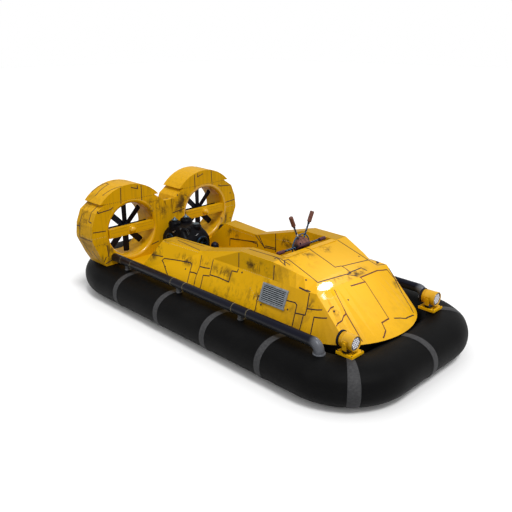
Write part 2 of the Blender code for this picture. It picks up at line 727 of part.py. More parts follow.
def vent(name, sign):
    """A framed grille with slanted louvres that lies on the flank."""
    lean = (DECK_SIDE_Y - HOOD_STATIONS[0][1]) / (KNUCKLE_Z - DECK_BASE)
    slope = math.atan(lean)
    height = (VENT_Z[1] - VENT_Z[0]) / math.cos(slope)
    width = VENT_X[1] - VENT_X[0]
    plate = box(name, (0, 0, 0), (width, height, VENT_THICK))
    frame = VENT_FRAME
    subtract(plate, box("window", (frame, frame, -0.1), (width - frame, height - frame, 0.1)))
    back = box("back", (frame / 2, frame / 2, 0.0), (width - frame / 2, height - frame / 2, 0.004))
    unite(plate, back)
    pitch = (height - 2 * frame) / LOUVRES
    for i in range(LOUVRES):
        y = frame + (i + 0.5) * pitch
        slat = box("slat", (frame - 0.003, y - 0.004, 0.002), (width - frame + 0.003, y + 0.004, 0.013))
        unite(plate, slat)
    foot_y = DECK_SIDE_Y - lean * (VENT_Z[0] - DECK_BASE)
    up = Vector((0, -sign * math.sin(slope), math.cos(slope)))
    out = Vector((0, sign * math.cos(slope), math.sin(slope)))
    along = Vector((1, 0, 0))
    start = Vector((VENT_X[0], sign * foot_y, VENT_Z[0])) + out * GAP
    frame_matrix = Matrix((
        (along.x, up.x, out.x, start.x),
        (along.y, up.y, out.y, start.y),
        (along.z, up.z, out.z, start.z),
        (0, 0, 0, 1),
    ))
    plate.data.transform(frame_matrix)
    if frame_matrix.determinant() < 0:
        plate.data.flip_normals()
    return finish(plate, "vent_grey")


def steering_axes():
    """Along the column upwards, and the way across it that points forward."""
    up = Vector((-math.sin(RAKE), 0, math.cos(RAKE)))
    ahead = Vector((math.cos(RAKE), 0, math.sin(RAKE)))
    return up, ahead


def lever_ends(sign):
    """Foot and top of a lever's middle line."""
    foot = Vector((LEVER_X, sign * LEVER_FOOT[0], LEVER_FOOT[1]))
    top = Vector((LEVER_X, sign * LEVER_TOP[0], LEVER_TOP[1]))
    return foot, top


def steering_frame():
    """Handlebar, stem, hoop and the two lever rods, welded into one. Its origin is on the column's axis."""
    up, _ = steering_axes()
    half = Vector((0, BAR_HALF, 0))
    frame = rod("steering_frame", STEER - half, STEER + half, BAR_RADIUS, 12)
    unite(frame, rod("stem", STEER - up * (COLUMN_START - GAP), STEER + up * STEM_TOP, STEM_RADIUS, 12))
    path = [(LEVER_X, -HOOP_HALF, HOOP_FOOT), (LEVER_X, -HOOP_HALF, STEER.z)]
    for i in range(1, 12):
        angle = math.pi * i / 12
        rise = (HOOP_TOP - STEER.z) * math.sin(angle)
        path.append((LEVER_X, -HOOP_HALF * math.cos(angle), STEER.z + rise))
    path += [(LEVER_X, HOOP_HALF, STEER.z), (LEVER_X, HOOP_HALF, HOOP_FOOT)]
    unite(frame, swept_tube("hoop", path, HOOP_RADIUS, 8))
    for _, sign in sides():
        foot, top = lever_ends(sign)
        unite(frame, rod("lever", foot, foot.lerp(top, LEVER_ROD), LEVER_RADIUS, 10))
    finish(frame, "steel_blue", smooth=40)
    frame.data.transform(Matrix.Translation(-STEER))
    frame.location = STEER
    return frame


def grips():
    """Grips on the handlebar's ends and on the levers."""
    for side, sign in sides():
        start = STEER + Vector((0, sign * (BAR_HALF + GAP), 0))
        end = STEER + Vector((0, sign * GRIP_END, 0))
        rod(f"bar_grip_{side}", start, end, GRIP_RADIUS, 12, "brown_leather")
        foot, top = lever_ends(sign)
        start = foot.lerp(top, LEVER_ROD) + (top - foot).normalized() * GAP
        rod(f"lever_grip_{side}", start, top, LEVER_GRIP_RADIUS, 12, "brown_leather")


def steering_pad():
    """The faceted pad round the middle of the handlebar, with room cut for what passes through it."""
    up, ahead = steering_axes()
    across = Vector((0, 1, 0))
    rings = []
    for height, long_half, short_half in PAD_LEVELS:
        ring = []
        for i in range(12):
            angle = 2 * math.pi * (i + 0.5) / 12
            out = across * long_half * math.cos(angle) + ahead * short_half * math.sin(angle)
            ring.append(STEER + up * height + out)
        rings.append(ring)
    pad = loft("steering_pad", rings)
    spare = 2 * GAP
    cuts = [
        rod("cut", STEER - Vector((0, 0.2, 0)), STEER + Vector((0, 0.2, 0)), BAR_RADIUS + spare, 12),
        rod("cut", STEER - up * 0.1, STEER + up * (STEM_TOP + spare), STEM_RADIUS + spare, 12),
    ]
    for _, sign in sides():
        foot, top = lever_ends(sign)
        along = (top - foot).normalized()
        cuts.append(rod("cut", foot - along * spare, foot.lerp(top, 0.5), LEVER_RADIUS + spare, 10))
    return finish(subtract(pad, *cuts), "brown_leather")


def steering_column():
    """The raked column under the hood, and the beam that carries it between the foot well's walls."""
    up, _ = steering_axes()
    column = rod("steering_column", STEER - up * COLUMN_START, STEER - up * COLUMN_END, COLUMN_RADIUS, 14)
    at = STEER - up * BEAM_AT
    half = HOOD_WALL_Y - GAP
    size = Vector((BEAM_HALF[0], half, BEAM_HALF[1]))
    beam = box("beam", at - size, at + size)
    return finish(unite(column, beam), "dark_metal", smooth=40)


def engine():
    """Engine block with four lobes, and what stands on it."""
    loops = []
    for z, rear, front, half in ENGINE_LEVELS:
        loops.append([(rear, -half, z), (front, -half, z), (front, half, z), (rear, half, z)])
    block = loft("engine_block", loops)
    for x, y, radius, top in LOBES:
        outline = [(0.0, radius)]
        outline += [(top - LOBE_FOOT + drop, radius * share) for drop, share in LOBE_SHOULDER]
        for _, sign in sides():
            unite(block, upright("lobe", (x, sign * y, LOBE_FOOT), outline))
    finish(block, "engine_black", smooth=40)
    x, y, _, top = LOBES[0]
    for side, sign in sides():
        upright(f"engine_cone_{side}", (x, sign * y, top + GAP), CAP_OUTLINE, 14, "steel_blue")
    x, y, _, top = LOBES[1]
    upright("engine_plug", (x, y, top + GAP), PLUG_OUTLINE, 14, "steel_blue")
    ring = [(0, PULLEY_BORE), (PULLEY_THICK, PULLEY_BORE)]
    ring += [(PULLEY_THICK, PULLEY_RADIUS), (0, PULLEY_RADIUS)]
    lathe("engine_pulley", ring, (ENGINE_LEVELS[0][2] + GAP, PULLEY_Y, PULLEY_Z), 24, "dark_metal")
    upright("engine_filter", FILTER_PLACE, FILTER_OUTLINE, 16, "dark_metal")


def seat():
    """A low bench: a box that stands in the well, and its cushion."""
    box(
        "seat_box", (SEAT_X[0], -SEAT_HALF_Y, WELL_FLOOR + GAP),
        (SEAT_X[1], SEAT_HALF_Y, SEAT_TOP - CUSHION), "yellow_paint",
    )
    cushion = box(
        "seat_cushion", (SEAT_X[0], -SEAT_HALF_Y - 0.01, SEAT_TOP - CUSHION + GAP),
        (SEAT_X[1] + 0.01, SEAT_HALF_Y + 0.01, SEAT_TOP), "black_vinyl",
    )
    bevel = cushion.modifiers.new("rounded", "BEVEL")
    bevel.width = 0.022
    bevel.segments = 2


def main():
    clear_scene()
    skirt()
    hull_base()
    for side, sign in sides():
        hull_side(f"hull_side_{side}", sign)
    hood()
    nose()
    for side, sign in sides():
        duct(f"duct_{side}", sign)
        duct_cap(f"duct_cap_{side}", sign)
        fan_strut(f"fan_strut_{side}", sign)
        rotor(f"rotor_{side}", sign)
        side_pipe(f"side_pipe_{side}", sign)
        for place, x in STUBS:
            pipe_stub(f"pipe_stub_{place}_{side}", x, sign)
        lamp(side, sign)
        vent(f"vent_{side}", sign)
    fan_web()
    steering_frame()
    grips()
    steering_pad()
    steering_column()
    engine()
    seat()


main()
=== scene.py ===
# %% [markdown]
# # Dressing a twin-fan hovercraft
#
# A small hovercraft rides on an inflated skirt, and two ducted fans at its stern push it along.
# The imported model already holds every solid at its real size. This lesson keeps that frame and lays
# finer surfaces and painted finishes over it, one piece at a time.

# %% Load the frame
import math

import bpy
import numpy as np
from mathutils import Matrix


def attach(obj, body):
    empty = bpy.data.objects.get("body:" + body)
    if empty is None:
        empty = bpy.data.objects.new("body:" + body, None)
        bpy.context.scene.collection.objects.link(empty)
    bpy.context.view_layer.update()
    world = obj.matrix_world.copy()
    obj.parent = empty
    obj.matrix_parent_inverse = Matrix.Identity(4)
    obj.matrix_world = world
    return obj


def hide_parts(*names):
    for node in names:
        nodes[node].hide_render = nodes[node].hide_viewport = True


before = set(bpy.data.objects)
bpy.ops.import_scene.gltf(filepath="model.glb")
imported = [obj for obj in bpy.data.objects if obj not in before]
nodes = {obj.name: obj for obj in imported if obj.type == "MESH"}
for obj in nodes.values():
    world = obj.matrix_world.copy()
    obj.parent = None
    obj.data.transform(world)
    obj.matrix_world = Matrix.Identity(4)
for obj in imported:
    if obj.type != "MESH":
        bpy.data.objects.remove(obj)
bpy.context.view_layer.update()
print("nodes in the frame:", len(nodes))

# %% [markdown]
# ## Camera, floor and light
#
# The camera stands in front of the bow, to starboard and above, and looks down at the deck.
# A wide pale floor and light from the whole sky keep the shadows soft, and the ground sends back a
# quarter of it, so that upright walls are darker than decks. One wide sun from above, a little towards
# the bow, brightens the sloping plates of the hood. Two small lamps to port, with narrow cones, are
# mirrored in the polished patch where the hood meets the nose.

# %% Camera and floor
CAMERA_PLACE = (4.8446, -4.7661, 3.0771)
OFF_BOW, TILT, CONE = 45.0, 19.4745, 45.0       # degrees
FLOOR_Z = -0.002


def put(name, data):
    """A new object that shows the data."""
    thing = bpy.data.objects.new(name, data)
    bpy.context.scene.collection.objects.link(thing)
    return thing


def add_camera():
    """A camera off the bow, tilted down. Its lens is half the sensor / tangent of half the cone."""
    data = bpy.data.cameras.new("camera")
    data.sensor_width = 36.0
    data.lens = data.sensor_width / 2 / math.tan(math.radians(CONE / 2))
    data.clip_end = 200.0
    camera = put("camera", data)
    camera.location = CAMERA_PLACE
    camera.rotation_euler = (math.radians(90 - TILT), 0.0, math.radians(OFF_BOW))
    bpy.context.scene.camera = camera


def add_floor(size):
    """A square of pale floor just under the skirt."""
    mesh = bpy.data.meshes.new("floor")
    corners = ((-size, -size), (size, -size), (size, size), (-size, size))
    mesh.from_pydata([(x, y, FLOOR_Z) for x, y in corners], [], [(0, 1, 2, 3)])
    floor = put("floor", mesh)
    made = bpy.data.materials.new("floor_white")
    made.use_nodes = True
    shader = made.node_tree.nodes["Principled BSDF"]
    shader.inputs["Base Color"].default_value = (0.93, 0.93, 0.93, 1)
    shader.inputs["Roughness"].default_value = 0.9
    mesh.materials.append(made)
    floor.visible_diffuse = False


add_camera()
add_floor(60.0)
bpy.context.scene.view_settings.view_transform = "Standard"
print("camera set")

# %% Lights
SUN_FROM = (0.43, -0.13, 0.89)      # above, a little towards the bow and to starboard
LAMPS = (               # place, target, watts
    ((3.29, 2.38, 3.33), (1.50, -0.40, 0.77), 0.90),
    ((1.05, 2.72, 3.66), (1.42, -0.38, 0.83), 0.65),
)
LAMP_WIDTH, LAMP_CONE = 0.5, 20.0


def aim(lamp, x, y, z):
    """Turn a lamp so that its rays come from the direction (x, y, z)."""
    lamp.rotation_euler = (math.atan2(math.hypot(x, y), z), 0.0, math.atan2(x, -y))


def add_sun(toward, strength, width):
    """A sun whose rays come from a direction. A wide sun gives soft shadows."""
    data = bpy.data.lights.new("above_bow", "SUN")
    data.energy, data.angle = strength, math.radians(width)
    aim(put("above_bow", data), *toward)


def add_lamp(place, target, watts):
    """A small round area light with a narrow cone, that the camera doesn't see."""
    data = bpy.data.lights.new("small_lamp", "AREA")
    data.shape, data.size, data.energy, data.spread = "DISK", LAMP_WIDTH, watts, math.radians(LAMP_CONE)
    lamp = put("small_lamp", data)
    lamp.location = place
    aim(lamp, *(a - b for a, b in zip(place, target)))
    lamp.visible_camera = False


def add_world(sky, ground, backdrop):
    """White light from the sky, and less from the ground. The camera sees a backdrop of its own."""
    world = bpy.data.worlds.new("studio")
    world.use_nodes = True
    tree = world.node_tree
    path = tree.nodes.new("ShaderNodeLightPath")
    toward = tree.nodes.new("ShaderNodeTexCoord")
    height = tree.nodes.new("ShaderNodeSeparateXYZ")
    tree.links.new(toward.outputs["Generated"], height.inputs[0])
    light = tree.nodes.new("ShaderNodeMapRange")
    for key, value in (("From Min", -0.15), ("From Max", 0.15), ("To Min", ground), ("To Max", sky)):
        light.inputs[key].default_value = value
    tree.links.new(height.outputs["Z"], light.inputs["Value"])
    level = tree.nodes.new("ShaderNodeMapRange")
    level.inputs["To Max"].default_value = backdrop
    tree.links.new(light.outputs[0], level.inputs["To Min"])
    tree.links.new(path.outputs["Is Camera Ray"], level.inputs["Value"])
    tree.links.new(level.outputs[0], tree.nodes["Background"].inputs["Strength"])
    tree.nodes["Background"].inputs["Color"].default_value = (1.0, 1.0, 1.0, 1)
    bpy.context.scene.world = world


add_sun(SUN_FROM, strength=1.7, width=16.0)
for lamp_row in LAMPS:
    add_lamp(*lamp_row)
add_world(sky=0.82, ground=0.20, backdrop=1.0)
print("lights set:", 1 + len(LAMPS))

# %% [markdown]
# ## Surfaces from arrays
#
# Nearly every piece here is a grid of points: rows along the piece, and columns around it. When the
# columns close into a ring and both ends are capped, the surface is a closed skin. One helper turns
# such grids into a mesh, and looks at the sign of each skin's volume to turn its faces outwards.

# %% From grids of points to a mesh
def grid_quads(rows, columns, ring, loop):
    """Four corners of each cell: a point, its neighbour in the row, and the two in the next row."""
    r, c = np.meshgrid(
        np.arange(rows if loop else rows - 1),
        np.arange(columns if ring else columns - 1), indexing="ij",
    )
    r, c = r.ravel(), c.ravel()
    r2, c2 = (r + 1) % rows, (c + 1) % columns
    return np.stack([r * columns + c, r * columns + c2, r2 * columns + c2, r2 * columns + c], axis=1)


def skin_volume(copies, quads, caps):
    """Volume of each copy: a sixth of the sum, over its triangles, of corner . (corner x corner)."""
    triangles = [quads[:, [0, 1, 2]], quads[:, [0, 2, 3]]]
    for cap in caps:
        triangles.append(np.stack([np.full(len(cap) - 2, cap[0]), cap[1:-1], cap[2:]], axis=1))
    a, b, c = (copies[:, np.concatenate(triangles)[:, i]] - copies[:, :1] for i in range(3))
    return np.einsum("ktx,ktx->k", a, np.cross(b, c)) / 6


def patch(points, ring=True, loop=False, capped=True, uv=None):
    """A grid of points, (rows, columns, 3), or a stack of such grids that share one layout."""
    points = np.asarray(points, float)
    if points.ndim == 3:
        points = points[None]
    count, rows, columns, _ = points.shape
    quads = grid_quads(rows, columns, ring, loop)
    caps = []
    if ring and not loop and capped:
        caps = [np.arange(columns)[::-1], np.arange(columns) + (rows - 1) * columns]
    copies = points.reshape(count, rows * columns, 3)
    inside_out = skin_volume(copies, quads, caps) < 0
    return {
        "copies": copies, "quads": quads, "caps": caps, "flip": inside_out,
        "uv": uv, "rows": rows, "columns": columns, "ring": ring, "loop": loop,
    }


def cell_uv(item):
    """Texture places for the corners of each cell. A ring's last column ends at the last place given."""
    u, v = (np.asarray(values, float) for values in item["uv"])
    rows = item["rows"] if item["loop"] else item["rows"] - 1
    columns = item["columns"] if item["ring"] else item["columns"] - 1
    r, c = (a.ravel() for a in np.meshgrid(np.arange(rows), np.arange(columns), indexing="ij"))
    corners = [(r, c), (r, c + 1), (r + 1, c + 1), (r + 1, c)]
    return np.stack([np.stack([u[i], v[j]], axis=1) for i, j in corners], axis=1)


def build(name, patches, material, body, smooth=40):
    """One mesh object from patches, that rides on a body."""
    points, faces, sizes, places, start = [], [], [], [], 0
    for item in patches:
        for copy, flip in zip(item["copies"], item["flip"]):
            quads = item["quads"][:, ::-1] if flip else item["quads"]
            faces.append((quads + start).ravel())
            sizes.append(np.full(len(quads), 4))
            uv = np.zeros((len(quads), 4, 2)) if item["uv"] is None else cell_uv(item)
            places.append((uv[:, ::-1] if flip else uv).reshape(-1, 2))
            for cap in item["caps"]:
                faces.append((cap[::-1] if flip else cap) + start)
                sizes.append(np.array([len(cap)]))
                places.append(np.zeros((len(cap), 2)))
            points.append(copy)
            start += len(copy)
    points, faces, sizes = np.concatenate(points), np.concatenate(faces), np.concatenate(sizes)
    mesh = bpy.data.meshes.new(name)
    mesh.vertices.add(len(points))
    mesh.vertices.foreach_set("co", points.ravel())
    mesh.loops.add(len(faces))
    mesh.polygons.add(len(sizes))
    mesh.polygons.foreach_set("loop_start", np.concatenate([[0], np.cumsum(sizes)[:-1]]))
    mesh.polygons.foreach_set("vertices", faces)
    layer = mesh.uv_layers.new(name="UVMap")
    layer.data.foreach_set("uv", np.concatenate(places).ravel())
    mesh.update(calc_edges=True)
    mesh.validate()
    mesh.materials.append(material)
    mesh.shade_smooth()
    mesh.set_sharp_from_angle(angle=math.radians(smooth))
    thing = put(name, mesh)
    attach(thing, body)
    print(f"{name}: {int((sizes - 2).sum())} triangles")
    return thing


# %% [markdown]
# Three families of shape come back again and again: a profile carried along a path, as in a pipe;
# a profile turned about an axis, as in a lamp; and a small thing set down many times, as rivets are.

# %% A profile along a path, and one about an axis
def unit(vectors):
    """Vectors scaled to length one."""
    return vectors / np.linalg.norm(vectors, axis=-1, keepdims=True)


def carry(path, profile, across, closed=False):
    """Profile (sideways, up) carried along a path: path + side x sideways + across x up.

    The side is square to the path and to the across direction, and it is stretched at a corner by one
    over the cosine of half the turn, so that the piece keeps its width there.
    """
    path = np.asarray(path, float)
    steps = np.diff(np.vstack([path, path[:1]]) if closed else path, axis=0)
    steps = unit(steps)
    after = steps if closed else np.vstack([steps, steps[-1:]])
    before = np.roll(steps, 1, axis=0) if closed else np.vstack([steps[:1], steps])
    across = np.broadcast_to(np.asarray(across, float), path.shape)
    side = unit(np.cross(unit(before + after), across))
    stretch = 1 / np.maximum(0.4, (side * unit(np.cross(after, across))).sum(axis=1))
    profile = np.asarray(profile, float)
    return (path[:, None] + (side * stretch[:, None])[:, None] * profile[None, :, :1]
            + across[:, None] * profile[None, :, 1:])


def evenly(count):
    """Equal angles once round."""
    return 2 * np.pi * np.arange(count) / count


def circle(radius, count):
    """Points (radius x cosine, radius x sine) at equal angles."""
    angle = evenly(count)
    return np.stack([radius * np.cos(angle), radius * np.sin(angle)], axis=1)


def mm(*flat):
    """Pairs of numbers in millimetres as rows in metres."""
    return np.reshape(flat, (-1, 2)) / 1000


def arc(x, y, radius, first, last, count):
    """Points (x + radius x sine, y + radius x cosine) between two angles in degrees."""
    turn = np.radians(np.linspace(first, last, count))
    return np.stack([x + radius * np.sin(turn), y + radius * np.cos(turn)], axis=1)


def squared(turn, n):
    """Cosine and sine of the angle, each with its size raised to 2 / n: a circle at n = 2, squarer above."""
    pair = np.cos(turn), np.sin(turn)
    return (np.sign(value) * np.abs(value) ** (2 / n) for value in pair)


def turned(profile, centre, axis, steps=48):
    """Profile (along, radius) turned about an axis: centre + axis x along + circle x radius."""
    axis = unit(np.asarray(axis, float))
    other = np.array([0.0, 0.0, 1.0]) if abs(axis[2]) < 0.9 else np.array([1.0, 0.0, 0.0])
    first = unit(np.cross(axis, other))
    second = np.cross(axis, first)
    profile = np.asarray(profile, float)
    wheel = circle(1.0, steps)
    out = first * wheel[:, :1] + second * wheel[:, 1:]
    return np.asarray(centre, float) + axis * profile[:, None, :1] + out[None] * profile[:, None, 1:]


def lathe(profile, centre, axis, steps=48):
    """A patch of the turned profile."""
    return patch(turned(profile, centre, axis, steps))


def domes(places, normals, radius, height, steps=10):
    """Rivet heads: a quarter circle turned about each normal, or one for all, with a foot under the skin."""
    angle = np.radians([0, 35, 65, 86])
    along = np.concatenate([[-0.3], np.sin(angle)]) * height
    out = np.concatenate([[1.0], np.cos(angle)]) * radius
    places = np.asarray(places, float)
    normals = unit(np.broadcast_to(np.asarray(normals, float), places.shape))
    other = np.where(np.abs(normals[:, 2:]) < 0.9, [[0.0, 0.0, 1.0]], [[1.0, 0.0, 0.0]])
    first = unit(np.cross(normals, other))
    second = np.cross(normals, first)
    wheel = circle(1.0, steps)
    ring = first[:, None] * wheel[None, :, :1] + second[:, None] * wheel[None, :, 1:]
    return (places[:, None, None] + normals[:, None, None] * along[None, :, None, None]
            + ring[:, None] * out[None, :, None, None])


def mirrored(points):
    """The same points on the other side of the craft: Y changes its sign."""
    return np.asarray(points, float) * np.array([1.0, -1.0, 1.0])


SIDES = (("starboard", -1.0), ("port", 1.0))
print("helpers ready")

# %% [markdown]
# ## Paint, rubber and metal
#
# A finish is a small tree of nodes. Noise in object coordinates stays fixed to the surface, so the
# same stain shows from every side. The hull's paint is a warm yellow with faded and grimy patches and
# streaks that run down with the rain. Some of its pieces have more: painted shade on the rail tops, the
# nose's flanks and the base's outer wall, and a shinier patch over the bow, which mirrors the small lamps.

# %% Node helpers
class Field:
    """A value that changes over the surface. Each step of arithmetic on it adds one node to its tree."""

    def __init__(self, tree, socket):
        self.tree, self.socket = tree, socket

    def math(self, how, a, b=0.0):
        return add_node(self.tree, "ShaderNodeMath", {0: a, 1: b}, operation=how)[0]

    def __add__(self, other):
        return self.math("ADD", self, other)

    def __sub__(self, other):
        return self.math("SUBTRACT", self, other)

    def __rsub__(self, other):
        return self.math("SUBTRACT", other, self)

    def __mul__(self, other):
        return self.math("MULTIPLY", self, other)

    def __abs__(self):
        return self.math("ABSOLUTE", self)

    def greater(self, other):
        """The greater of the two."""
        return self.math("MAXIMUM", self, other)

    def sine(self):
        """The sine of an angle in radians."""
        return self.math("SINE", self)

    def mask(self, low, high, top=1.0):
        """0 below low, top above high, and a smooth rise between them."""
        inputs = {"Value": self, "From Min": low, "From Max": high, "To Max": top}
        return add_node(self.tree, "ShaderNodeMapRange", inputs, interpolation_type="SMOOTHSTEP")[0]

    def split(self):
        """X, Y and Z of a place."""
        return add_node(self.tree, "ShaderNodeSeparateXYZ", {0: self})


def fill(tree, target, value):
    """A socket takes a field, a number or a colour."""
    if isinstance(value, Field):
        tree.links.new(value.socket, target)
    else:
        target.default_value = value


def add_node(tree, kind, inputs=None, **options):
    """A node with its options set and its inputs filled. Gives its outputs as fields."""
    made = tree.nodes.new(kind)
    for key, value in options.items():
        setattr(made, key, value)
    for key, value in (inputs or {}).items():
        fill(tree, made.inputs[key], value)
    return [Field(tree, socket) for socket in made.outputs]


def start_material(name, roughness=0.5, metallic=0.0, shine=0.5):
    """A new material and its node tree. Shine is the strength of its mirror light."""
    made = bpy.data.materials.new(name)
    made.use_nodes = True
    inputs = made.node_tree.nodes["Principled BSDF"].inputs
    for key, value in (("Roughness", roughness), ("Metallic", metallic), ("Specular IOR Level", shine)):
        inputs[key].default_value = value
    return made, made.node_tree


def wire(made, colour, bump, roughness=None):
    """Join the colour, the roughness, and a bump: (height between 0 and 1, its depth in metres, strength)."""
    tree = made.node_tree
    inputs = tree.nodes["Principled BSDF"].inputs
    fill(tree, inputs["Base Color"], colour)
    if roughness is not None:
        fill(tree, inputs["Roughness"], roughness)
    height, distance, strength = bump
    raised = add_node(tree, "ShaderNodeBump", {"Height": height, "Distance": distance, "Strength": strength})
    fill(tree, inputs["Normal"], raised[0])
    return made


def coordinate(tree, which):
    """The surface's own UV or Object coordinates."""
    node = tree.nodes.new("ShaderNodeTexCoord")
    return Field(tree, node.outputs[which])


def object_place(tree, scale=(1, 1, 1), turn=(0, 0, 0)):
    """Object coordinates, scaled and turned by degrees."""
    turn = tuple(math.radians(angle) for angle in turn)
    inputs = {"Vector": coordinate(tree, "Object"), "Scale": scale, "Rotation": turn}
    return add_node(tree, "ShaderNodeMapping", inputs)[0]


def noise(place, scale, detail=4.0, rough=0.5):
    """Cloudy noise between 0 and 1."""
    inputs = {"Vector": place, "Scale": scale, "Detail": detail, "Roughness": rough}
    return add_node(place.tree, "ShaderNodeTexNoise", inputs)[0]


def blend(factor, a, b):
    """Colour a where the factor is 0 and b where it is 1."""
    a, b = (value if isinstance(value, Field) else (*value, 1.0) for value in (a, b))
    return add_node(factor.tree, "ShaderNodeMix", {0: factor, 6: a, 7: b}, data_type="RGBA")[2]


def tint(colour, *factors):
    """The colour times one factor, or times one each for red, green and blue."""
    return tuple(c * f for c, f in zip(colour, factors * (3 // len(factors))))


# %% Where the hull is soiled, painted with shade, or polished
DIRTY = (               # centre and reach of a soiled place, with Y counted from the middle line
    ((0.67, 0.60, 0.88), (0.30, 0.05, 0.10)), ((-0.95, 0.66, 0.70), (0.16, 0.10, 0.13)),
    ((-0.80, 0.58, 0.80), (0.14, 0.08, 0.05)), ((-1.52, 0.20, 0.95), (0.12, 0.24, 0.18)),
    ((-1.52, 0.95, 0.65), (0.10, 0.12, 0.16)), ((-0.75, 0.37, 0.70), (0.22, 0.07, 0.13)),
    ((1.42, 0.10, 0.83), (0.10, 0.26, 0.06)), ((1.00, 0.15, 0.97), (0.14, 0.12, 0.04)),
    ((0.75, 0.68, 0.60), (0.12, 0.07, 0.09)), ((-0.10, 0.58, 0.72), (0.14, 0.08, 0.08)),
    ((1.45, 0.62, 0.68), (0.10, 0.09, 0.12)), ((1.70, 0.50, 0.66), (0.12, 0.10, 0.06)),
    ((-1.52, 0.26, 1.05), (0.12, 0.16, 0.20)), ((-1.52, 1.02, 0.50), (0.12, 0.14, 0.12)),
    ((-1.70, 1.12, 1.02), (0.20, 0.12, 0.16)), ((0.25, 0.38, 0.80), (0.30, 0.06, 0.12)),
    ((-0.45, 0.62, 0.68), (0.25, 0.08, 0.10)), ((0.20, 0.62, 0.70), (0.25, 0.08, 0.10)),
    ((1.15, 0.66, 0.62), (0.15, 0.10, 0.12)), ((-1.05, 0.68, 0.62), (0.18, 0.12, 0.14)),
)
POLISHED = (((1.425, -0.40, 0.822), (0.07, 0.19, 0.05)), ((1.500, -0.42, 0.775), (0.07, 0.19, 0.06)))
RAIL_LINE = ((-0.892, 0.4945), (-0.258, 0.434), (0.0, 0.460), (0.457, 0.5055), (0.905, 0.4975))    # x, y
RAIL_HALF, RAIL_FOOT = (0.0895, 0.0880), (0.76, 0.78)
WALL_SIDE, WALL_BOW, WALL_STERN, FOOT_SHADE_TOP = (0.745, 0.750), (1.360, 1.370), (-1.900, -1.910), (0.4096, 0.4088)
CHEEK_SIDE, CHEEK_RISE = (0.5800, 0.5835), (1.44, 1.64)


def nearness(place, spots):
    """The greatest of (1 - distance in reaches) over the spots."""
    total = 0.0
    for centre, reach in spots:
        away = add_node(place.tree, "ShaderNodeVectorMath", {0: place, 1: centre}, operation="SUBTRACT")[0]
        away = add_node(place.tree, "ShaderNodeVectorMath", {0: away, 1: reach}, operation="DIVIDE")[0]
        away = add_node(place.tree, "ShaderNodeVectorMath", {0: away}, operation="LENGTH")[1]
        total = (1.0 - away).greater(total)
    return total


def rail_share(x, y, z):
    """1 on the rails' top faces, 0 elsewhere: within 89 mm of a middle line that is bent at each station."""
    middle = RAIL_LINE[0][1]
    for (x0, y0), (x1, y1) in zip(RAIL_LINE, RAIL_LINE[1:]):
        inputs = {"Value": x, "From Min": x0, "From Max": x1, "To Max": y1 - y0}
        middle = add_node(x.tree, "ShaderNodeMapRange", inputs)[0] + middle
    return abs(abs(y) - middle).mask(*RAIL_HALF) * z.mask(*RAIL_FOOT)


def foot_shade_share(x, y, z):
    """1 on the hull base's outer wall, from a little below the deck's edge down, where it gets painted shade."""
    outside = abs(y).mask(*WALL_SIDE).greater(x.mask(*WALL_BOW)).greater(x.mask(*WALL_STERN))
    return outside * z.mask(*FOOT_SHADE_TOP)


# %% Hull paint
GRIME, SPECK, RUN = (0.046, 0.025, 0.010), (0.06, 0.03, 0.012), (0.045, 0.020, 0.008)
# Painted shade: black for the hull base's outer wall, dark brown for the nose's flanks.
FOOT_SHADE, SHADE = (0.006, 0.005, 0.005), (0.12, 0.055, 0.001)


def hull_paint(name, base, grime=0.0, roughness=0.34, shine=0.08, streaks=0.0, rail_shade=1.0, cheek_shade=0.0,
               foot_shade=False):
    """Yellow paint: clouds of fading, grime round the soiled places, rain streaks and fine grain.

    Three settings paint shade: a darker yellow on the hull sides' flat tops, dark brown on the nose's flanks,
    and black on the hull base's outer wall. Over the bow the roughness falls towards the middle of each polished
    spot.
    """
    made, tree = start_material(name, 0.45, shine=shine)
    place = object_place(tree)
    x, y, z = place.split()
    faded = blend(noise(place, 1.7, 3.0).mask(0.42, 0.66, 0.45), base, tint(base, 1.08, 1.12, 1.6))
    stain = noise(object_place(tree, turn=(20, 0, 30)), 5.3, 8.0, 0.68)
    streak = noise(object_place(tree, (9.0, 9.0, 1.1)), 2.2, 5.0, 0.6)
    folded = add_node(tree, "ShaderNodeCombineXYZ", {0: x, 1: abs(y), 2: z})[0]
    near = nearness(folded, DIRTY).mask(0.0, 0.75)
    where = near.greater(noise(place, 0.9, 2.0).mask(0.46, 0.66) * (0.35 + grime))
    dirt = stain.mask(0.46, 0.62, 0.92).greater(streak.mask(0.51, 0.68, 0.8)) * where
    coloured = blend(dirt, faded, GRIME)
    coloured = blend(noise(place, 55.0, 2.0).mask(0.68, 0.72, 0.6) * where, coloured, SPECK)
    if streaks:
        runs = noise(object_place(tree, (16.0, 16.0, 0.7)), 2.0, 6.0, 0.65)
        coloured = blend(runs.mask(0.46, 0.62, streaks), coloured, RUN)
    # Painted shade: a darker copy of the yellow on the rails' flat tops.
    if rail_shade < 1.0:
        coloured = blend(rail_share(x, y, z) * 0.85, coloured, tint(base, rail_shade))
    # Painted shade: black on the hull base's outer wall below the deck's edge, where it meets the skirt.
    if foot_shade:
        coloured = blend(foot_shade_share(x, y, z), coloured, FOOT_SHADE)
    # Painted shade: dark brown on the nose's flanks beyond the crease at |y| 0.58.
    if cheek_shade:
        coloured = blend(abs(y).mask(*CHEEK_SIDE, cheek_shade) * x.mask(*CHEEK_RISE), coloured, SHADE)
    grain = noise(place, 38.0, 6.0, 0.6)
    polish = nearness(place, POLISHED) + stain * 0.9
    rough = (grain * 0.22 + dirt * 0.25 + roughness) * (1.0 - polish.mask(0.62, 0.92, 0.72))
    return wire(made, coloured, (grain, 0.0006, 0.5), rough)


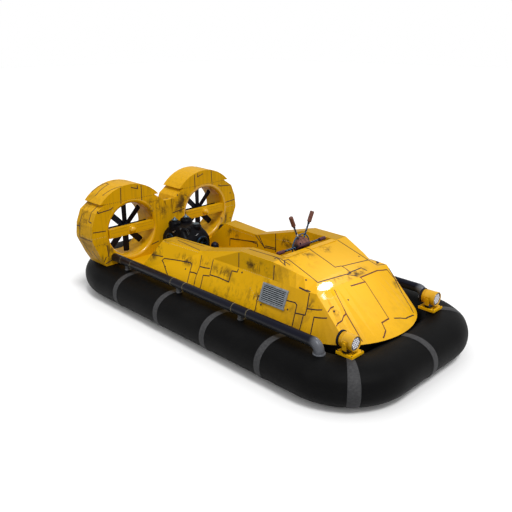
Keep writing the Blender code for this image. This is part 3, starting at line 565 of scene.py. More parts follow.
YELLOW = (0.66, 0.345, 0.0015)
paint = hull_paint("hull_paint", YELLOW)
# The hull sides use a lighter copy of the yellow, painted light on the flanks, with painted shade on their rail
# tops.
side_paint = hull_paint("hull_paint_side", tint(YELLOW, 1.14, 1.16, 1.0), grime=0.25, rail_shade=0.52)
clean_paint = hull_paint("hull_paint_clean", tint(YELLOW, 1.06, 1.06, 1.2), grime=-0.25)
nose_paint = hull_paint("hull_paint_nose", tint(YELLOW, 1.06), grime=-0.25, shine=0.15, cheek_shade=0.34)
hood_paint = hull_paint("hull_paint_hood", YELLOW, shine=0.15)
base_paint = hull_paint("hull_paint_base", YELLOW, grime=0.1, foot_shade=True)
duct_paint = hull_paint("hull_paint_duct", YELLOW, grime=0.30, streaks=0.14)
bore_paint = hull_paint("hull_paint_bore", YELLOW, grime=0.15, shine=0.05)
grimy_paint = hull_paint("hull_paint_grimy", tint(YELLOW, 0.95), grime=0.20, streaks=0.85)
gloss_paint = hull_paint("hull_paint_gloss", YELLOW, grime=-0.1, roughness=0.10, shine=0.5)
lamp_paint = hull_paint("lamp_paint", tint(YELLOW, 0.95), roughness=0.22, shine=0.4)
print("paints:", sum(1 for made in bpy.data.materials if "paint" in made.name))


# %% Rubber, metal and leather
def grainy(name, low, high, scale, roughness, metallic=0.0, bump=0.0004, shine=0.3):
    """Two tones mixed by noise, with the same noise as a bump."""
    made, tree = start_material(name, roughness, metallic, shine)
    field = noise(object_place(tree), scale, 6.0, 0.6)
    colour = blend(field.mask(0.35, 0.68), low, high)
    return wire(made, colour, (field, bump, 0.7), field * 0.25 + (roughness - 0.12))


def skirt_rubber():
    """Coated cloth: near-black, a fine weave that follows the skin's own UV, and dust in broad clouds."""
    made, tree = start_material("skirt_rubber", 0.62, shine=0.07)
    along, round_it, _ = coordinate(tree, "UV").split()
    weave = (along * 1600.0).sine() * (round_it * 1600.0).sine()
    dust = noise(object_place(tree), 2.4, 6.0, 0.62)
    colour = blend(dust.mask(0.45, 0.75), (0.0020, 0.0020, 0.0022), (0.0050, 0.0050, 0.0052))
    return wire(made, colour, (weave * 0.2 + dust, 0.0008, 0.35), dust * 0.3 + 0.42)


def pipe_metal():
    """Dark steel, blue-black along the top and grey lower down as a painted reflection, with a lighter grey
    painted highlight at the elbow.
    """
    made, tree = start_material("pipe_metal", 0.32, 0.12, shine=0.16)
    x, _, level = object_place(tree).split()
    wander = noise(object_place(tree, (0.6, 3.0, 3.0)), 5.0, 5.0)
    # Painted reflection: blue-black along the top of the pipe, grey lower down.
    top_reflection = (level + wander * 0.012).mask(0.496, 0.540)
    colour = blend(top_reflection, (0.026, 0.027, 0.030), (0.0015, 0.0020, 0.0090))
    # Painted highlight: lighter grey on the elbow's bend.
    colour = blend((x + wander * 0.05).mask(1.690, 1.760), colour, (0.105, 0.110, 0.125))
    scuff = noise(object_place(tree, (1.0, 8.0, 8.0)), 30.0, 5.0)
    return wire(made, colour, (scuff, 0.0003, 0.5), scuff * 0.3 + 0.18)


def bracket_paint():
    """Lamp yellow above, and black painted shade on the bend of the bracket below the case."""
    made, tree = start_material("bracket_paint", 0.45, shine=0.2)
    place = object_place(tree)
    cloud = noise(place, 30.0, 4.0)
    yellow = blend(cloud.mask(0.40, 0.70), YELLOW, tint(YELLOW, 0.7))
    height = place.split()[2] + cloud * 0.012
    # Painted shade: black on the bracket's bend below the lamp case.
    return wire(made, blend(height.mask(0.4720, 0.4800), (0.006, 0.004, 0.004), yellow), (cloud, 0.0005, 0.5))


def twist_sheen(name, dark, blue, light, pitch=0.040, starts=2):
    """Spiral stripes on dark steel, blue painted sheen and light painted highlights, by the sine of 2 pi (starts
    x share of the way round + along / pitch).
    """
    made, tree = start_material(name, 0.36, 0.30)
    along, share, _ = coordinate(tree, "UV").split()
    wave = (along * (2 * math.pi / pitch) + share * (2 * math.pi * starts)).sine()
    wear = noise(object_place(tree), 120.0, 4.0)
    # Painted sheen: blue stripes. Painted highlight: their light crests.
    colour = blend(wave.mask(-0.25, 0.15), dark, blue)
    colour = blend(wave.mask(0.82, 0.95), colour, light)
    colour = blend(wear.mask(0.45, 0.75, 0.5), colour, dark)
    return wire(made, colour, (wave + wear, 0.0012, 0.8))


def two_ended(name, middle, dark):
    """Leather with near-black painted shade towards the pad's ends, and darker along the raked column towards its
    lower edge.
    """
    made, tree = start_material(name, 0.55, shine=0.3)
    place = object_place(tree)
    x, y, z = place.split()
    grain = noise(place, 90.0, 6.0, 0.6)
    # Painted shade: the pad's two ends turn near black.
    ends = (abs(y) + grain * 0.016).mask(0.092, 0.106)
    up = z * math.cos(RAKE) - x * math.sin(RAKE)
    colour = blend(grain.mask(0.35, 0.68), tint(middle, 0.62), middle)
    colour = blend((grain * 0.010 - up).mask(-0.2590, -0.2440), colour, (0.030, 0.006, 0.026))
    return wire(made, blend(ends, colour, dark), (grain, 0.0010, 0.7))


RAKE = math.radians(40)             # lean of the steering column
rubber, pipe_steel, lamp_bracket = skirt_rubber(), pipe_metal(), bracket_paint()
# The bars' spiral stripes are painted sheen and painted highlights of a twist.
twist_sheen_steel = twist_sheen("twist_sheen_steel", (0.0008, 0.0014, 0.0070), (0.004, 0.034, 0.100), (0.15, 0.27, 0.42))
pad_leather = two_ended("pad_leather", (0.20, 0.068, 0.045), (0.0060, 0.0020, 0.0040))
band_rubber = grainy("band_rubber", (0.034, 0.034, 0.036), (0.055, 0.055, 0.057), 45.0, 0.60, shine=0.2)
seam_dark = grainy("seam_dark", (0.012, 0.004, 0.007), (0.034, 0.012, 0.011), 30.0, 0.55)
seam_red = grainy("seam_red", (0.045, 0.010, 0.005), (0.150, 0.032, 0.010), 30.0, 0.55)
navy_metal = grainy("navy_metal", (0.002, 0.002, 0.009), (0.006, 0.007, 0.022), 20.0, 0.42, 0.4)
black_gloss = grainy("engine_black", (0.0012, 0.0012, 0.0016), (0.004, 0.004, 0.006), 25.0, 0.36, shine=0.07)
blue_steel = grainy("blue_steel", (0.006, 0.028, 0.058), (0.050, 0.130, 0.215), 60.0, 0.32, 0.45)
vent_paint = grainy("vent_paint", (0.16, 0.18, 0.20), (0.27, 0.29, 0.31), 40.0, 0.45, 0.1)
stub_grey = grainy("stub_grey", (0.060, 0.062, 0.066), (0.150, 0.152, 0.160), 60.0, 0.42, 0.3)
leather = grainy("brown_leather", (0.085, 0.026, 0.018), (0.19, 0.075, 0.050), 90.0, 0.55, bump=0.0012)
purple_leather = grainy("dark_leather", (0.045, 0.010, 0.020), (0.11, 0.035, 0.045), 90.0, 0.55, bump=0.0012)
# Painted shade: the dark leather of the pad's crease cords.
crease_shade_leather = grainy("crease_shade_leather", (0.020, 0.006, 0.007), (0.060, 0.022, 0.018), 90.0, 0.60)
vinyl = grainy("black_vinyl", (0.006, 0.006, 0.007), (0.014, 0.014, 0.015), 120.0, 0.45, bump=0.0008)
seat_cord = grainy("seat_cord", (0.010, 0.010, 0.011), (0.026, 0.026, 0.028), 150.0, 0.50)
ring_blue = grainy("ring_blue", (0.001, 0.006, 0.022), (0.004, 0.030, 0.052), 30.0, 0.32, 0.5)
cap_steel = grainy("cap_steel", (0.040, 0.066, 0.085), (0.130, 0.180, 0.215), 80.0, 0.34, 0.4)
dull_metal = grainy("dull_metal", (0.030, 0.032, 0.036), (0.120, 0.125, 0.135), 90.0, 0.40, 0.5)
bright_metal = grainy("bright_metal", (0.45, 0.46, 0.48), (0.65, 0.66, 0.68), 50.0, 0.28, 0.9)
rim_purple = grainy("rim_purple", (0.035, 0.006, 0.040), (0.085, 0.025, 0.080), 60.0, 0.45)
lamp_white = grainy("lamp_white", (0.70, 0.70, 0.76), (0.85, 0.85, 0.90), 70.0, 0.25)
lamp_grey = grainy("lamp_grey", (0.07, 0.075, 0.09), (0.13, 0.14, 0.16), 70.0, 0.25)
rivet_dark = grainy("rivet_dark", (0.045, 0.018, 0.010), (0.120, 0.055, 0.020), 30.0, 0.50)
seal_light = grainy("seal_light", (0.45, 0.36, 0.16), (0.70, 0.60, 0.34), 60.0, 0.55)
print("finishes ready:", len(bpy.data.materials))

# %% [markdown]
# ## The frame's own solids
#
# Nodes whose shape is already right keep it, and only their finish changes. The hull's plates are also
# shaded smooth across their gentle bends.

# %% Finishes for the frame's solids
NODE_FINISH = (         # start of the node's name, finish
    ("bar_grip", purple_leather), ("duct", duct_paint), ("engine_block", black_gloss),
    ("engine_cone", blue_steel), ("engine_filter", navy_metal), ("engine_plug", blue_steel),
    ("engine_pulley", navy_metal), ("fan_strut", paint), ("fan_web", grimy_paint), ("hood", hood_paint),
    ("hull_base", base_paint), ("hull_side", side_paint), ("lamp_base", clean_paint),
    ("lamp_housing", clean_paint), ("lamp_lens", lamp_white), ("lamp_ring", navy_metal),
    ("lamp_yoke", clean_paint), ("lever_grip", leather), ("nose", nose_paint), ("pipe_stub", pipe_steel),
    ("rotor", navy_metal), ("seat_box", paint), ("seat_cushion", vinyl), ("side_pipe", pipe_steel),
    ("skirt", rubber), ("steering_column", navy_metal), ("steering_frame", blue_steel),
    ("steering_pad", leather), ("vent", vent_paint),
)
CREASE = 14                         # degrees: the hull's gentler bends are shaded round
for start, finish in NODE_FINISH:
    for name, node in nodes.items():
        if name.startswith(start):
            node.data.materials.clear()
            node.data.materials.append(finish)
        if name.startswith(start) and start in ("hood", "hull_side", "nose"):
            node.data.shade_smooth()
            node.data.set_sharp_from_angle(angle=math.radians(CREASE))
print("finished nodes:", sum(1 for n in nodes if n.startswith(tuple(s for s, _ in NODE_FINISH))))

# %% [markdown]
# ## The skirt
#
# The skirt is one long bag of air laid round the craft. Its middle line is a rectangle with rounded
# corners, and its section is a fat oval. Grey bands of doubled cloth lie over it at even distances.
# A finer grid than the frame's makes its edge smooth, and lets the cloth pucker a little at each band.

# %% The skirt's middle line and section
HALF_WIDTH, HALF_HEIGHT, SQUARE = 0.26, 0.205, 2.2
LINE_X, LINE_Y = 2.18, 0.926
CORNERS = (             # centre x, centre y, radius, first angle
    (1.71, 0.456, 0.47, 0), (-1.50, 0.246, 0.68, 90), (-1.50, -0.246, 0.68, 180), (1.71, -0.456, 0.47, 270),
)


def skirt_table():
    """Points, outward angles and lengths so far along the rounded rectangle."""
    turn = np.linspace(0, 90, 61)
    angle = np.radians(np.concatenate([first + turn for _, _, _, first in CORNERS]))
    x0, y0, radius = (np.repeat([row[i] for row in CORNERS], 61) for i in range(3))
    x, y = x0 + radius * np.cos(angle), y0 + radius * np.sin(angle)
    x, y = np.append(x, x[0]), np.append(y, y[0])
    angle = np.append(angle, angle[0] + 2 * np.pi)
    length = np.concatenate([[0], np.cumsum(np.hypot(np.diff(x), np.diff(y)))])
    return length, x, y, angle


LENGTH, TABLE_X, TABLE_Y, TABLE_ANGLE = skirt_table()
AROUND = LENGTH[-1]


def skirt_skin(s, t, out=0.0):
    """Skin point at length s and section angle t: line point + outward x half width x squared cosine,
    raised by half height x squared sine. Out moves it off the skin."""
    s = np.mod(s, AROUND)
    x, y, turn = (np.interp(s, LENGTH, column) for column in (TABLE_X, TABLE_Y, TABLE_ANGLE))
    wide, high = squared(t, SQUARE)
    wide, high = wide * (HALF_WIDTH + out), high * (HALF_HEIGHT + out)
    return np.stack([x + wide * np.cos(turn), y + wide * np.sin(turn), HALF_HEIGHT + high + 0 * x], axis=-1)


def length_at(x, y):
    """Length along the line of its nearest point to (x, y)."""
    fine = np.linspace(0, AROUND, 20000)
    away = np.hypot(np.interp(fine, LENGTH, TABLE_X) - x, np.interp(fine, LENGTH, TABLE_Y) - y)
    return fine[away.argmin()]


BOW_X, BOW_Y, BOW_RADIUS, _ = CORNERS[0]
REACH = BOW_RADIUS * math.sqrt(0.5)
BAND_PLACES = [(x, y) for x in (-1.097, -0.306, 0.480, 1.268) for y in (-LINE_Y, LINE_Y)]
BAND_PLACES += [(LINE_X, 0.0), (-LINE_X, 0.0)] + [(BOW_X + REACH, k * (BOW_Y + REACH)) for k in (1, -1)]
BANDS = np.array([length_at(x, y) for x, y in BAND_PLACES])
print(f"skirt: {AROUND:.2f} m round, {len(BANDS)} bands")

# %% Skin and bands
def pucker(s, t):
    """Ripples beside each band: 1.2 mm x sine of 26 t x a bell curve 60 mm wide."""
    away = np.abs((s[..., None] - BANDS + AROUND / 2) % AROUND - AROUND / 2).min(axis=-1)
    return -0.0012 + 0.0012 * np.sin(26 * t) * np.exp(-((away - 0.055) / 0.035) ** 2) * (away > 0.03)


s = np.linspace(0, AROUND, 480, endpoint=False)
t = np.linspace(-np.pi, np.pi, 96, endpoint=False)
S, T = np.meshgrid(s, t, indexing="ij")
GIRTH = 1.48                        # metres round the section, for the weave
weave_uv = np.linspace(0, AROUND, len(s) + 1), np.linspace(0, GIRTH, len(t) + 1)
skin = [patch(skirt_skin(S, T, pucker(S, T)), loop=True, uv=weave_uv)]
skin = build("skirt_skin", skin, rubber, "hull", smooth=60)
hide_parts("skirt")

BAND_HALF = 0.039
across = np.array([-1.0, -0.94, -0.3, 0.3, 0.94, 1.0, 0.9, -0.9]) * BAND_HALF
height = np.array([-0.001, 0.0022, 0.0030, 0.0030, 0.0022, -0.001, -0.003, -0.003])
t = np.radians(np.linspace(-76, 112, 72))
strips = np.stack([
    skirt_skin(middle + across[None, :] + 0 * t[:, None], t[:, None] + 0 * across[None, :], height[None, :])
    for middle in BANDS
])
build("skirt_bands", [patch(strips)], band_rubber, "hull", smooth=50)

# %% [markdown]
# ## Air pipes
#
# A dark pipe runs along each side from the fan to the bow, where an elbow turns it down into the skirt.
# Three stubs feed the skirt on the way. A pipe is the plainest use of a profile along a path.

# %% Pipes
PIPE_Y, PIPE_Z, PIPE_R, BEND = 0.890, 0.506, 0.050, 0.078
PIPE_REAR, PIPE_FRONT, SKIRT_TOP = -1.519, 1.764, 0.4108
TEES = np.array([-1.235, -0.235, 0.755])


def pipe_path():
    """A straight run, then a quarter circle of 78 mm radius down to the skirt."""
    run = [(x, PIPE_Z) for x in (PIPE_REAR, -1.5165, -1.514, 0.0)]
    bend = arc(PIPE_FRONT - BEND, PIPE_Z - BEND, BEND, 0, 90, 17)
    flat = np.vstack([run, bend, [(PIPE_FRONT, SKIRT_TOP + 0.0027)]])
    return np.insert(flat, 1, 0.0, axis=1)


STUB = mm(0, 36, 4, 38, 10, 38, 14, 33, 60, 32, 75, 38)
FLANGE = mm(0, 50, 0, 60, 11, 60, 14, 57, 14, 50)
COLLAR_GAPS = (-0.100, 0.110)       # rings of rivets before and after each stub
path = pipe_path()
size = np.ones(len(path))
size[:2] = 0.86, 0.96               # a rounded rear end
body = carry(path, circle(PIPE_R, 40), (0, 1, 0))
body = path[:, None] + (body - path[:, None]) * size[:, None, None]
flange = turned(FLANGE, (PIPE_FRONT, 0, SKIRT_TOP), (0, 0, 1), 36)
ring = np.insert(circle(1.0, 26), 0, 0.0, axis=1)
studs = np.concatenate([ring * PIPE_R + (x + gap, 0, PIPE_Z) for x in TEES for gap in COLLAR_GAPS])
for side, sign in SIDES:
    shift = np.array([0, sign * PIPE_Y, 0])
    parts = [patch(body + shift), patch(flange + shift)]
    pipe = build(f"air_pipe_{side}", parts, pipe_steel, "hull", smooth=45)
    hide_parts(f"side_pipe_{side}")
    stubs = [lathe(STUB, (x, sign * PIPE_Y, SKIRT_TOP), (0, 0, 1), 28) for x in TEES]
    stubs = build(f"air_stubs_{side}", stubs, stub_grey, "hull", smooth=45)
    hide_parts(*(f"pipe_stub_{place}_{side}" for place in ("rear", "middle", "front")))
    studs_here = domes(studs + shift, np.tile(ring, (6, 1)), 0.0030, 0.0016, 6)
    build(f"pipe_rivets_{side}", [patch(studs_here)], seal_light, "hull")

# %% [markdown]
# ## Seams between the hull's plates
#
# Hull and ducts are plated, and dark sealant fills the joints between the plates. Each joint is drawn as
# a line of corners in one of five views, and then landed on the solid below it: rays run along the
# view's direction, and the first triangle that each one meets gives the place and the normal. Plugs and
# rows of small rivets land in the same way.

# %% Land points on the frame
def node_triangles(names):
    """Corner points of every triangle in the named nodes."""
    found = []
    for name in names:
        mesh = nodes[name].data
        mesh.calc_loop_triangles()
        points = np.zeros(len(mesh.vertices) * 3)
        mesh.vertices.foreach_get("co", points)
        corners = np.zeros(len(mesh.loop_triangles) * 3, dtype=np.int64)
        mesh.loop_triangles.foreach_get("vertices", corners)
        found.append(points.reshape(-1, 3)[corners.reshape(-1, 3)])
    return np.concatenate(found)


def land(points, direction, triangles):
    """Where rays from the points first meet the triangles, by Cramer's rule on
    start + distance x direction = corner + u x edge 1 + v x edge 2.

    Gives places, normals and whether each ray met one.
    """
    direction = np.asarray(direction, float)
    points = points - direction * 5.0
    corner = triangles[:, 0]
    edge1, edge2 = triangles[:, 1] - corner, triangles[:, 2] - corner
    p = np.cross(direction, edge2)
    det = (edge1 * p).sum(axis=1)
    safe = np.where(np.abs(det) < 1e-12, np.inf, det)
    offset = points[:, None] - corner[None]
    u = (offset * p[None]).sum(axis=2) / safe
    q = np.cross(offset, edge1[None])
    v = (q @ direction) / safe
    distance = (q * edge2[None]).sum(axis=2) / safe
    hit = (u > -1e-7) & (v > -1e-7) & (u + v < 1 + 1e-7) & np.isfinite(safe)[None] & (distance > 0)
    distance = np.where(hit, distance, np.inf)
    best = distance.argmin(axis=1)
    reach = distance[np.arange(len(points)), best]
    normal = unit(np.cross(edge1, edge2) + 1e-15)[best]
    normal = np.where((normal @ direction)[:, None] > 0, -normal, normal)
    found = np.isfinite(reach)
    return points + direction * np.where(found, reach, 0)[:, None], normal, found


# %% Seam strips
VIEWS = {               # first axis, second axis, direction of the rays
    "starboard": (0, 2, (0, 1, 0)), "port": (0, 2, (0, -1, 0)), "top": (0, 1, (0, 0, -1)),
    "front": (1, 2, (-1, 0, 0)), "back": (1, 2, (1, 0, 0)),
}
SEAM_HALF, NOSE_SEAM_HALF, SEAM_LIFT, SEAM_FOOT, SEAM_STEP = 0.0066, 0.0048, 0.0016, -0.0008, 0.010


def resample(line, step):
    """Corners kept, with points between them no further apart than step."""
    pieces = []
    for a, b in zip(line, line[1:]):
        count = max(1, int(np.ceil(np.linalg.norm(b - a) / step)))
        pieces.append(a + (b - a) * (np.arange(count) / count)[:, None])
    return np.vstack(pieces + [line[-1:]])


def in_view(view, flat):
    """Places in space for points of a view, with 0 along its rays."""
    points = np.zeros((*flat.shape[:-1], 3))
    points[..., VIEWS[view][0]], points[..., VIEWS[view][1]] = flat[..., 0], flat[..., 1]
    return points


def seam_strip(view, line, triangles, half):
    """A strip with sloped shoulders: each of its four edges is a line parallel to the seam, landed on the
    solid and moved along the normal by its own height."""
    path = np.insert(resample(line, SEAM_STEP), 2, 0.0, axis=1)
    offsets = np.array([(-half, 0.0), (-half * 0.6, 0.0), (half * 0.6, 0.0), (half, 0.0)])
    points = in_view(view, carry(path, offsets, (0, 0, 1))[..., :2])
    place, normal, found = land(points.reshape(-1, 3), VIEWS[view][2], triangles)
    rise = np.tile([SEAM_FOOT, SEAM_LIFT, SEAM_LIFT, SEAM_FOOT], len(path))
    strip = (place + normal * rise[:, None]).reshape(points.shape)
    return strip[found.reshape(len(path), 4).all(axis=1)]


def rows_of(table):
    """(view, corners in metres) for each line of a table in millimetres."""
    return [(view, np.reshape(flat, (-1, 2)) / 1000) for view, lines in table for flat in lines]


def strips(table, triangles, view=None, half=SEAM_HALF):
    """Patches of the seams that land, each in its row's own view or all in another one."""
    made = [seam_strip(view or own, line, triangles, half) for own, line in rows_of(table)]
    return [strip for strip in made if len(strip) > 1]


# %% Where the seams run
FLANK_SEAMS = ("starboard", (       # x1, z1, x2, z2 and so on, in millimetres
    (-610, 430, -835, 575, -807, 606, -372, 654, -332, 642, -324, 585, -285, 430),
    (-318, 569, -186, 584, -186, 657, -235, 763), (-186, 584, -160, 430), (-186, 660, -1, 688),
    (10, 785, 28, 629, 170, 638, 337, 634, 337, 747, 418, 755, 423, 790), (-55, 430, -72, 599, 30, 616),
    (786, 560, 786, 613, 820, 620), (786, 613, 801, 430), (1150, 668, 1261, 677, 1287, 661, 1306, 430),
    (1250, 812, 1384, 800), (1384, 795, 1408, 661, 1411, 603, 1293, 589), (1412, 661, 1555, 680),
    (1532, 430, 1508, 609, 1618, 617), (1392, 595, 1400, 430), (423, 805, 423, 965), (925, 805, 925, 955),
))
DECK_SEAMS = ("top", (              # x, y
    (925, -505, 1002, -517, 938, -460, 946, -405, 1355, -435, 1400, 38),
    (1400, 38, 1287, 31, 1336, 418, 920, 425), (860, -37, 1148, -45, 1265, -55, 1280, 31),
    (1399, -27, 1455, 75), (1389, 5, 1389, 226, 1443, 255), (1336, 418, 1369, 435, 1450, 568),
    (-751, -481, -299, -526), (-852, -431, -364, -401), (458, -484, 1024, -468),
    (776, -472, 863, -483, 939, -507), (1500, 572, 1567, 555, 1749, 490, 1930, 410),
    (1927, 50, 1970, 200, 1955, 374),
))
REAR_SEAMS = ("starboard", ((-1100, 600, -835, 620),))
NOSE_SEAMS = ("front", (            # y, z
    (-115, 768, 103, 757, 88, 792, 377, 789, 530, 765, 533, 723, 620, 430),
    (103, 757, -15, 513, -130, 509, -162, 460, -250, 425), (-340, 785, -360, 742, -409, 622, -452, 430),
    (-409, 622, -575, 553), (-575, 662, -480, 690),
))
WALL_SEAMS = ("port", (             # on the flank's inner wall: x, z
    (-782, 527, -784, 619, -242, 708), (-769, 626, -358, 686, -241, 684, -241, 648),
    (-228, 807, -125, 648), (35, 871, 38, 644), (-125, 685, 38, 689), (-282, 799, -135, 664, 49, 671),
))
MOUTH_SEAMS = (                     # on the starboard duct's face
    (-727, 1365, -741, 1142), (-431, 1341, -433, 1110), (-580, 1335, -484, 1304, -490, 1351),
    (-1160, 874, -950, 858), (-1030, 443, -927, 472), (-981, 682, -967, 523), (-1003, 532, -1060, 442),
    (-381, 541, -282, 600), (-1075, 1097, -885, 1114, -853, 1134),
)
DUCT_SEAMS = (("front", MOUTH_SEAMS), ("starboard", (
    (-1804, 1046, -1798, 763), (-1790, 708, -1748, 506), (-1620, 1160, -1620, 990, -1560, 985),
    (-1660, 600, -1620, 470), (-1879, 900, -1804, 905), (-1798, 763, -1521, 770),
)), ("top", (
    (-1738, -959, -1769, -737, -1846, -729, -1868, -931), (-1616, -930, -1575, -789, -1521, -694),
)), ("back", MOUTH_SEAMS))
WEB_SEAMS = ("front", ((-331, 533, -210, 555), (39, 888, 261, 916)))

ducts = node_triangles(("duct_starboard", "duct_port", "fan_web"))
starboard_duct = node_triangles(("duct_starboard", "duct_cap_starboard"))
starboard_hull = node_triangles(("hull_side_starboard", "hood", "nose"))
port_hull = node_triangles(("hull_side_port", "hood", "nose"))
port_wall = node_triangles(("hull_side_port",))
hull_strips = strips((FLANK_SEAMS, DECK_SEAMS, REAR_SEAMS), starboard_hull)
port_strips = strips((FLANK_SEAMS, REAR_SEAMS), port_hull, "port")
wall_strips = strips([WALL_SEAMS], mirrored(port_wall)) + strips([WALL_SEAMS], port_wall, "starboard")
duct_strips = strips(DUCT_SEAMS, starboard_duct)
both_ducts = duct_strips + strips([WEB_SEAMS], ducts) + [mirrored(strip) for strip in duct_strips]
build("hull_seams", map(patch, hull_strips), seam_dark, "hull")
build("nose_seams", map(patch, strips([NOSE_SEAMS], starboard_hull, half=NOSE_SEAM_HALF)), seam_red, "hull")
build("hull_seams_port", map(patch, port_strips), seam_dark, "hull")
build("wall_seams", map(patch, wall_strips), seam_dark, "hull")
build("duct_seams", map(patch, both_ducts), seam_dark, "hull")


# %% Plugs and rows of rivets
def landed(view, flat, triangles):
    """Places and normals where points of a view land, without those that miss."""
    place, normal, found = land(in_view(view, flat), VIEWS[view][2], triangles)
    return place[found], normal[found]


def dotted(line, step=0.026):
    """Points at even steps from the line's start to its end."""
    count = max(2, int(np.linalg.norm(line[1] - line[0]) / step))
    return line[0] + np.linspace(0, 1, count)[:, None] * (line[1] - line[0])


def heads(spots, radius, height, steps=8):
    """Domes on all the landed places."""
    places, normals = (np.concatenate(part) for part in zip(*spots))
    return domes(places, normals, radius, height, steps)


PLUGS = (               # view, places in millimetres
    ("starboard", ((-406, 579, -747, 526, 486, 767, 852, 544, 1195, 594),)),
    ("top", ((1620, -506, 1609, -275, 1264, -502, 858, -509, 1245, 379),)),
    ("front", ((-1069, 1115, 131, 1115, 1075, 982, 1068, 615),)),
)
MOUTH_ROWS = ((-1060, 1185, -200, 1185), (-1150, 700, -980, 700))
RIVET_ROWS = (          # piece, finish, view and rows from start to end in millimetres
    ("dark", seam_dark, (("front", MOUTH_ROWS), ("back", MOUTH_ROWS))),
    ("light", seal_light, (
        ("front", ((-1170, 790, -1000, 790), (-900, 1130, -860, 1090))),
        ("starboard", ((-1860, 790, -1530, 790), (-1860, 1165, -1530, 1165))),
    )),
)
FLANK_ROWS = ("starboard", ((658, 654, 822, 554), (-1050, 790, -320, 775), (500, 800, 890, 800)))
WALL_ROWS = ("port", ((30, 806, 880, 830), (-750, 760, -300, 765)))
RIVET, SMALL_RIVET = (0.0045, 0.0022), (0.0040, 0.0020)         # radius, height

everything = np.concatenate([starboard_hull, ducts])
plugs = heads([landed(view, flat, everything) for view, flat in rows_of(PLUGS)], 0.0105, 0.0022, 12)
build("dark_plugs", [patch(plugs)], seam_dark, "hull")
for name, finish, table in RIVET_ROWS:
    spots = [landed(view, dotted(line), node_triangles(("duct_starboard",))) for view, line in rows_of(table)]
    studs = heads(spots, *RIVET)
    build(f"duct_rivets_{name}", [patch(studs), patch(mirrored(studs))], finish, "hull")
spots = [landed(view, dotted(line), starboard_hull) for view, line in rows_of([FLANK_ROWS])]
spots += [landed(view, dotted(line), mirrored(port_wall)) for view, line in rows_of([WALL_ROWS])]
studs = heads(spots, *SMALL_RIVET)
build("hull_rivets", [patch(studs), patch(mirrored(studs))], seal_light, "hull")

# %% [markdown]
# ## Duct linings
#
# Air enters each duct over a rolled lip. The lip is a quarter circle of 38 mm turned about the fan's
# axis. The bore behind it, with a small rim on the rear face, is a second outline of its own.

# %% Duct linings
FAN_X, FAN_Y, FAN_Z = (-1.88, -1.52), 0.600, 0.801
BORE, LIP = 0.3356, 0.0384          # inner radius, radius of the lip's quarter circle


def lining_profile():
    """Two closed outlines (along, radius): face rim with its quarter circle, and bore with its rear rim."""
    quarter = arc(-0.036, BORE + LIP, LIP, 90, 180, 14)
    lip = np.vstack([mm(1.2, 384), quarter, mm(-40, 341.6, -8, 386)])
    return lip, mm(-36.2, 335.6, -352, 335.6, -358, 338.6, -361.2, 345.6, -360.8, 351.6, -350, 349.6, -36, 341.6)


for side, sign in SIDES:
    for name, outline, finish in zip(("lip", "lining"), lining_profile(), (gloss_paint, bore_paint)):
        ring = turned(outline, (FAN_X[1], sign * FAN_Y, FAN_Z), (1, 0, 0), 96)
        build(f"duct_{name}_{side}", [patch(ring, loop=True)], finish, "hull", smooth=50)

# %% [markdown]
# ## Fans
#
# Each fan has eight straight blades on a round hub. A blade is a surface of two parameters: how far
# out, and how far round its thin section. The section turns flatter towards the tip, because the tip
# moves faster, and the last few millimetres narrow to a rounded end.

# %% Blades and hub
def blade(root=0.030, round_from=0.300, reach=0.3245, chord=0.082, thick=0.012):
    """Rows from root to tip. The section is an ellipse with a fuller nose, turned from 15 to 7 degrees. Where
    the tip is round, the chord is 0.62 + 0.38 x the square root of (1 - share of the rounding squared)."""
    tip = round_from + (reach - round_from) * np.sin(np.linspace(0.3, 1.55, 8))
    out = np.concatenate([np.linspace(root, round_from, 16), tip])
    share = np.clip((out - round_from) / (reach - round_from + 0.0005), 0, 1)
    narrow = 0.62 + 0.38 * np.sqrt(1 - share ** 2)
    around = evenly(28)
    along = np.cos(around) * chord / 2
    fat = np.sin(around) * thick / 2 * (1 - 0.35 * np.cos(around)) + 0.0025 * np.cos(around) ** 2
    twist = np.radians(np.interp(out, [root, reach], [15, 7]))[:, None]
    x = fat * np.cos(twist) - along * narrow[:, None] * np.sin(twist)
    y = fat * np.sin(twist) + along * narrow[:, None] * np.cos(twist)
    return np.stack([x, y, out[:, None] + 0 * x], axis=-1)


def spun(points, angles):
    """Copies of the points turned about the X axis."""
    c, s = np.cos(angles)[:, None, None], np.sin(angles)[:, None, None]
    x, y, z = points[None, ..., 0], points[None, ..., 1], points[None, ..., 2]
    return np.stack([x + 0 * c, y * c - z * s, y * s + z * c], axis=-1)


HUB = mm(-45, 4, -44, 30, -40, 44, -30, 53, -20, 55, 24, 55, 31, 52, 35, 44, 35, 26, 40, 22, 104.5, 22)
for side, sign in SIDES:
    middle = np.array([-1.690, sign * FAN_Y, FAN_Z])
    blades = spun(blade(), evenly(8)) + middle
    ring = spun(np.array([[[0.0, 0.034, 0.0]]]), evenly(6)).reshape(-1, 3)
    bolts = domes(ring + middle + (HUB[1, 0] + 0.0005, 0, 0), (-1, 0, 0), 0.006, 0.004, 8)
    parts = [patch(blades), lathe(HUB, middle, (1, 0, 0), 40), patch(bolts)]
    fan = build(f"fan_{side}", parts, navy_metal, f"rotor_{side}", smooth=35)
    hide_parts(f"rotor_{side}")

# %% [markdown]
# ## Struts
#
# A riveted bar crosses each duct's mouth, and a round boss in its middle covers the shaft's end.

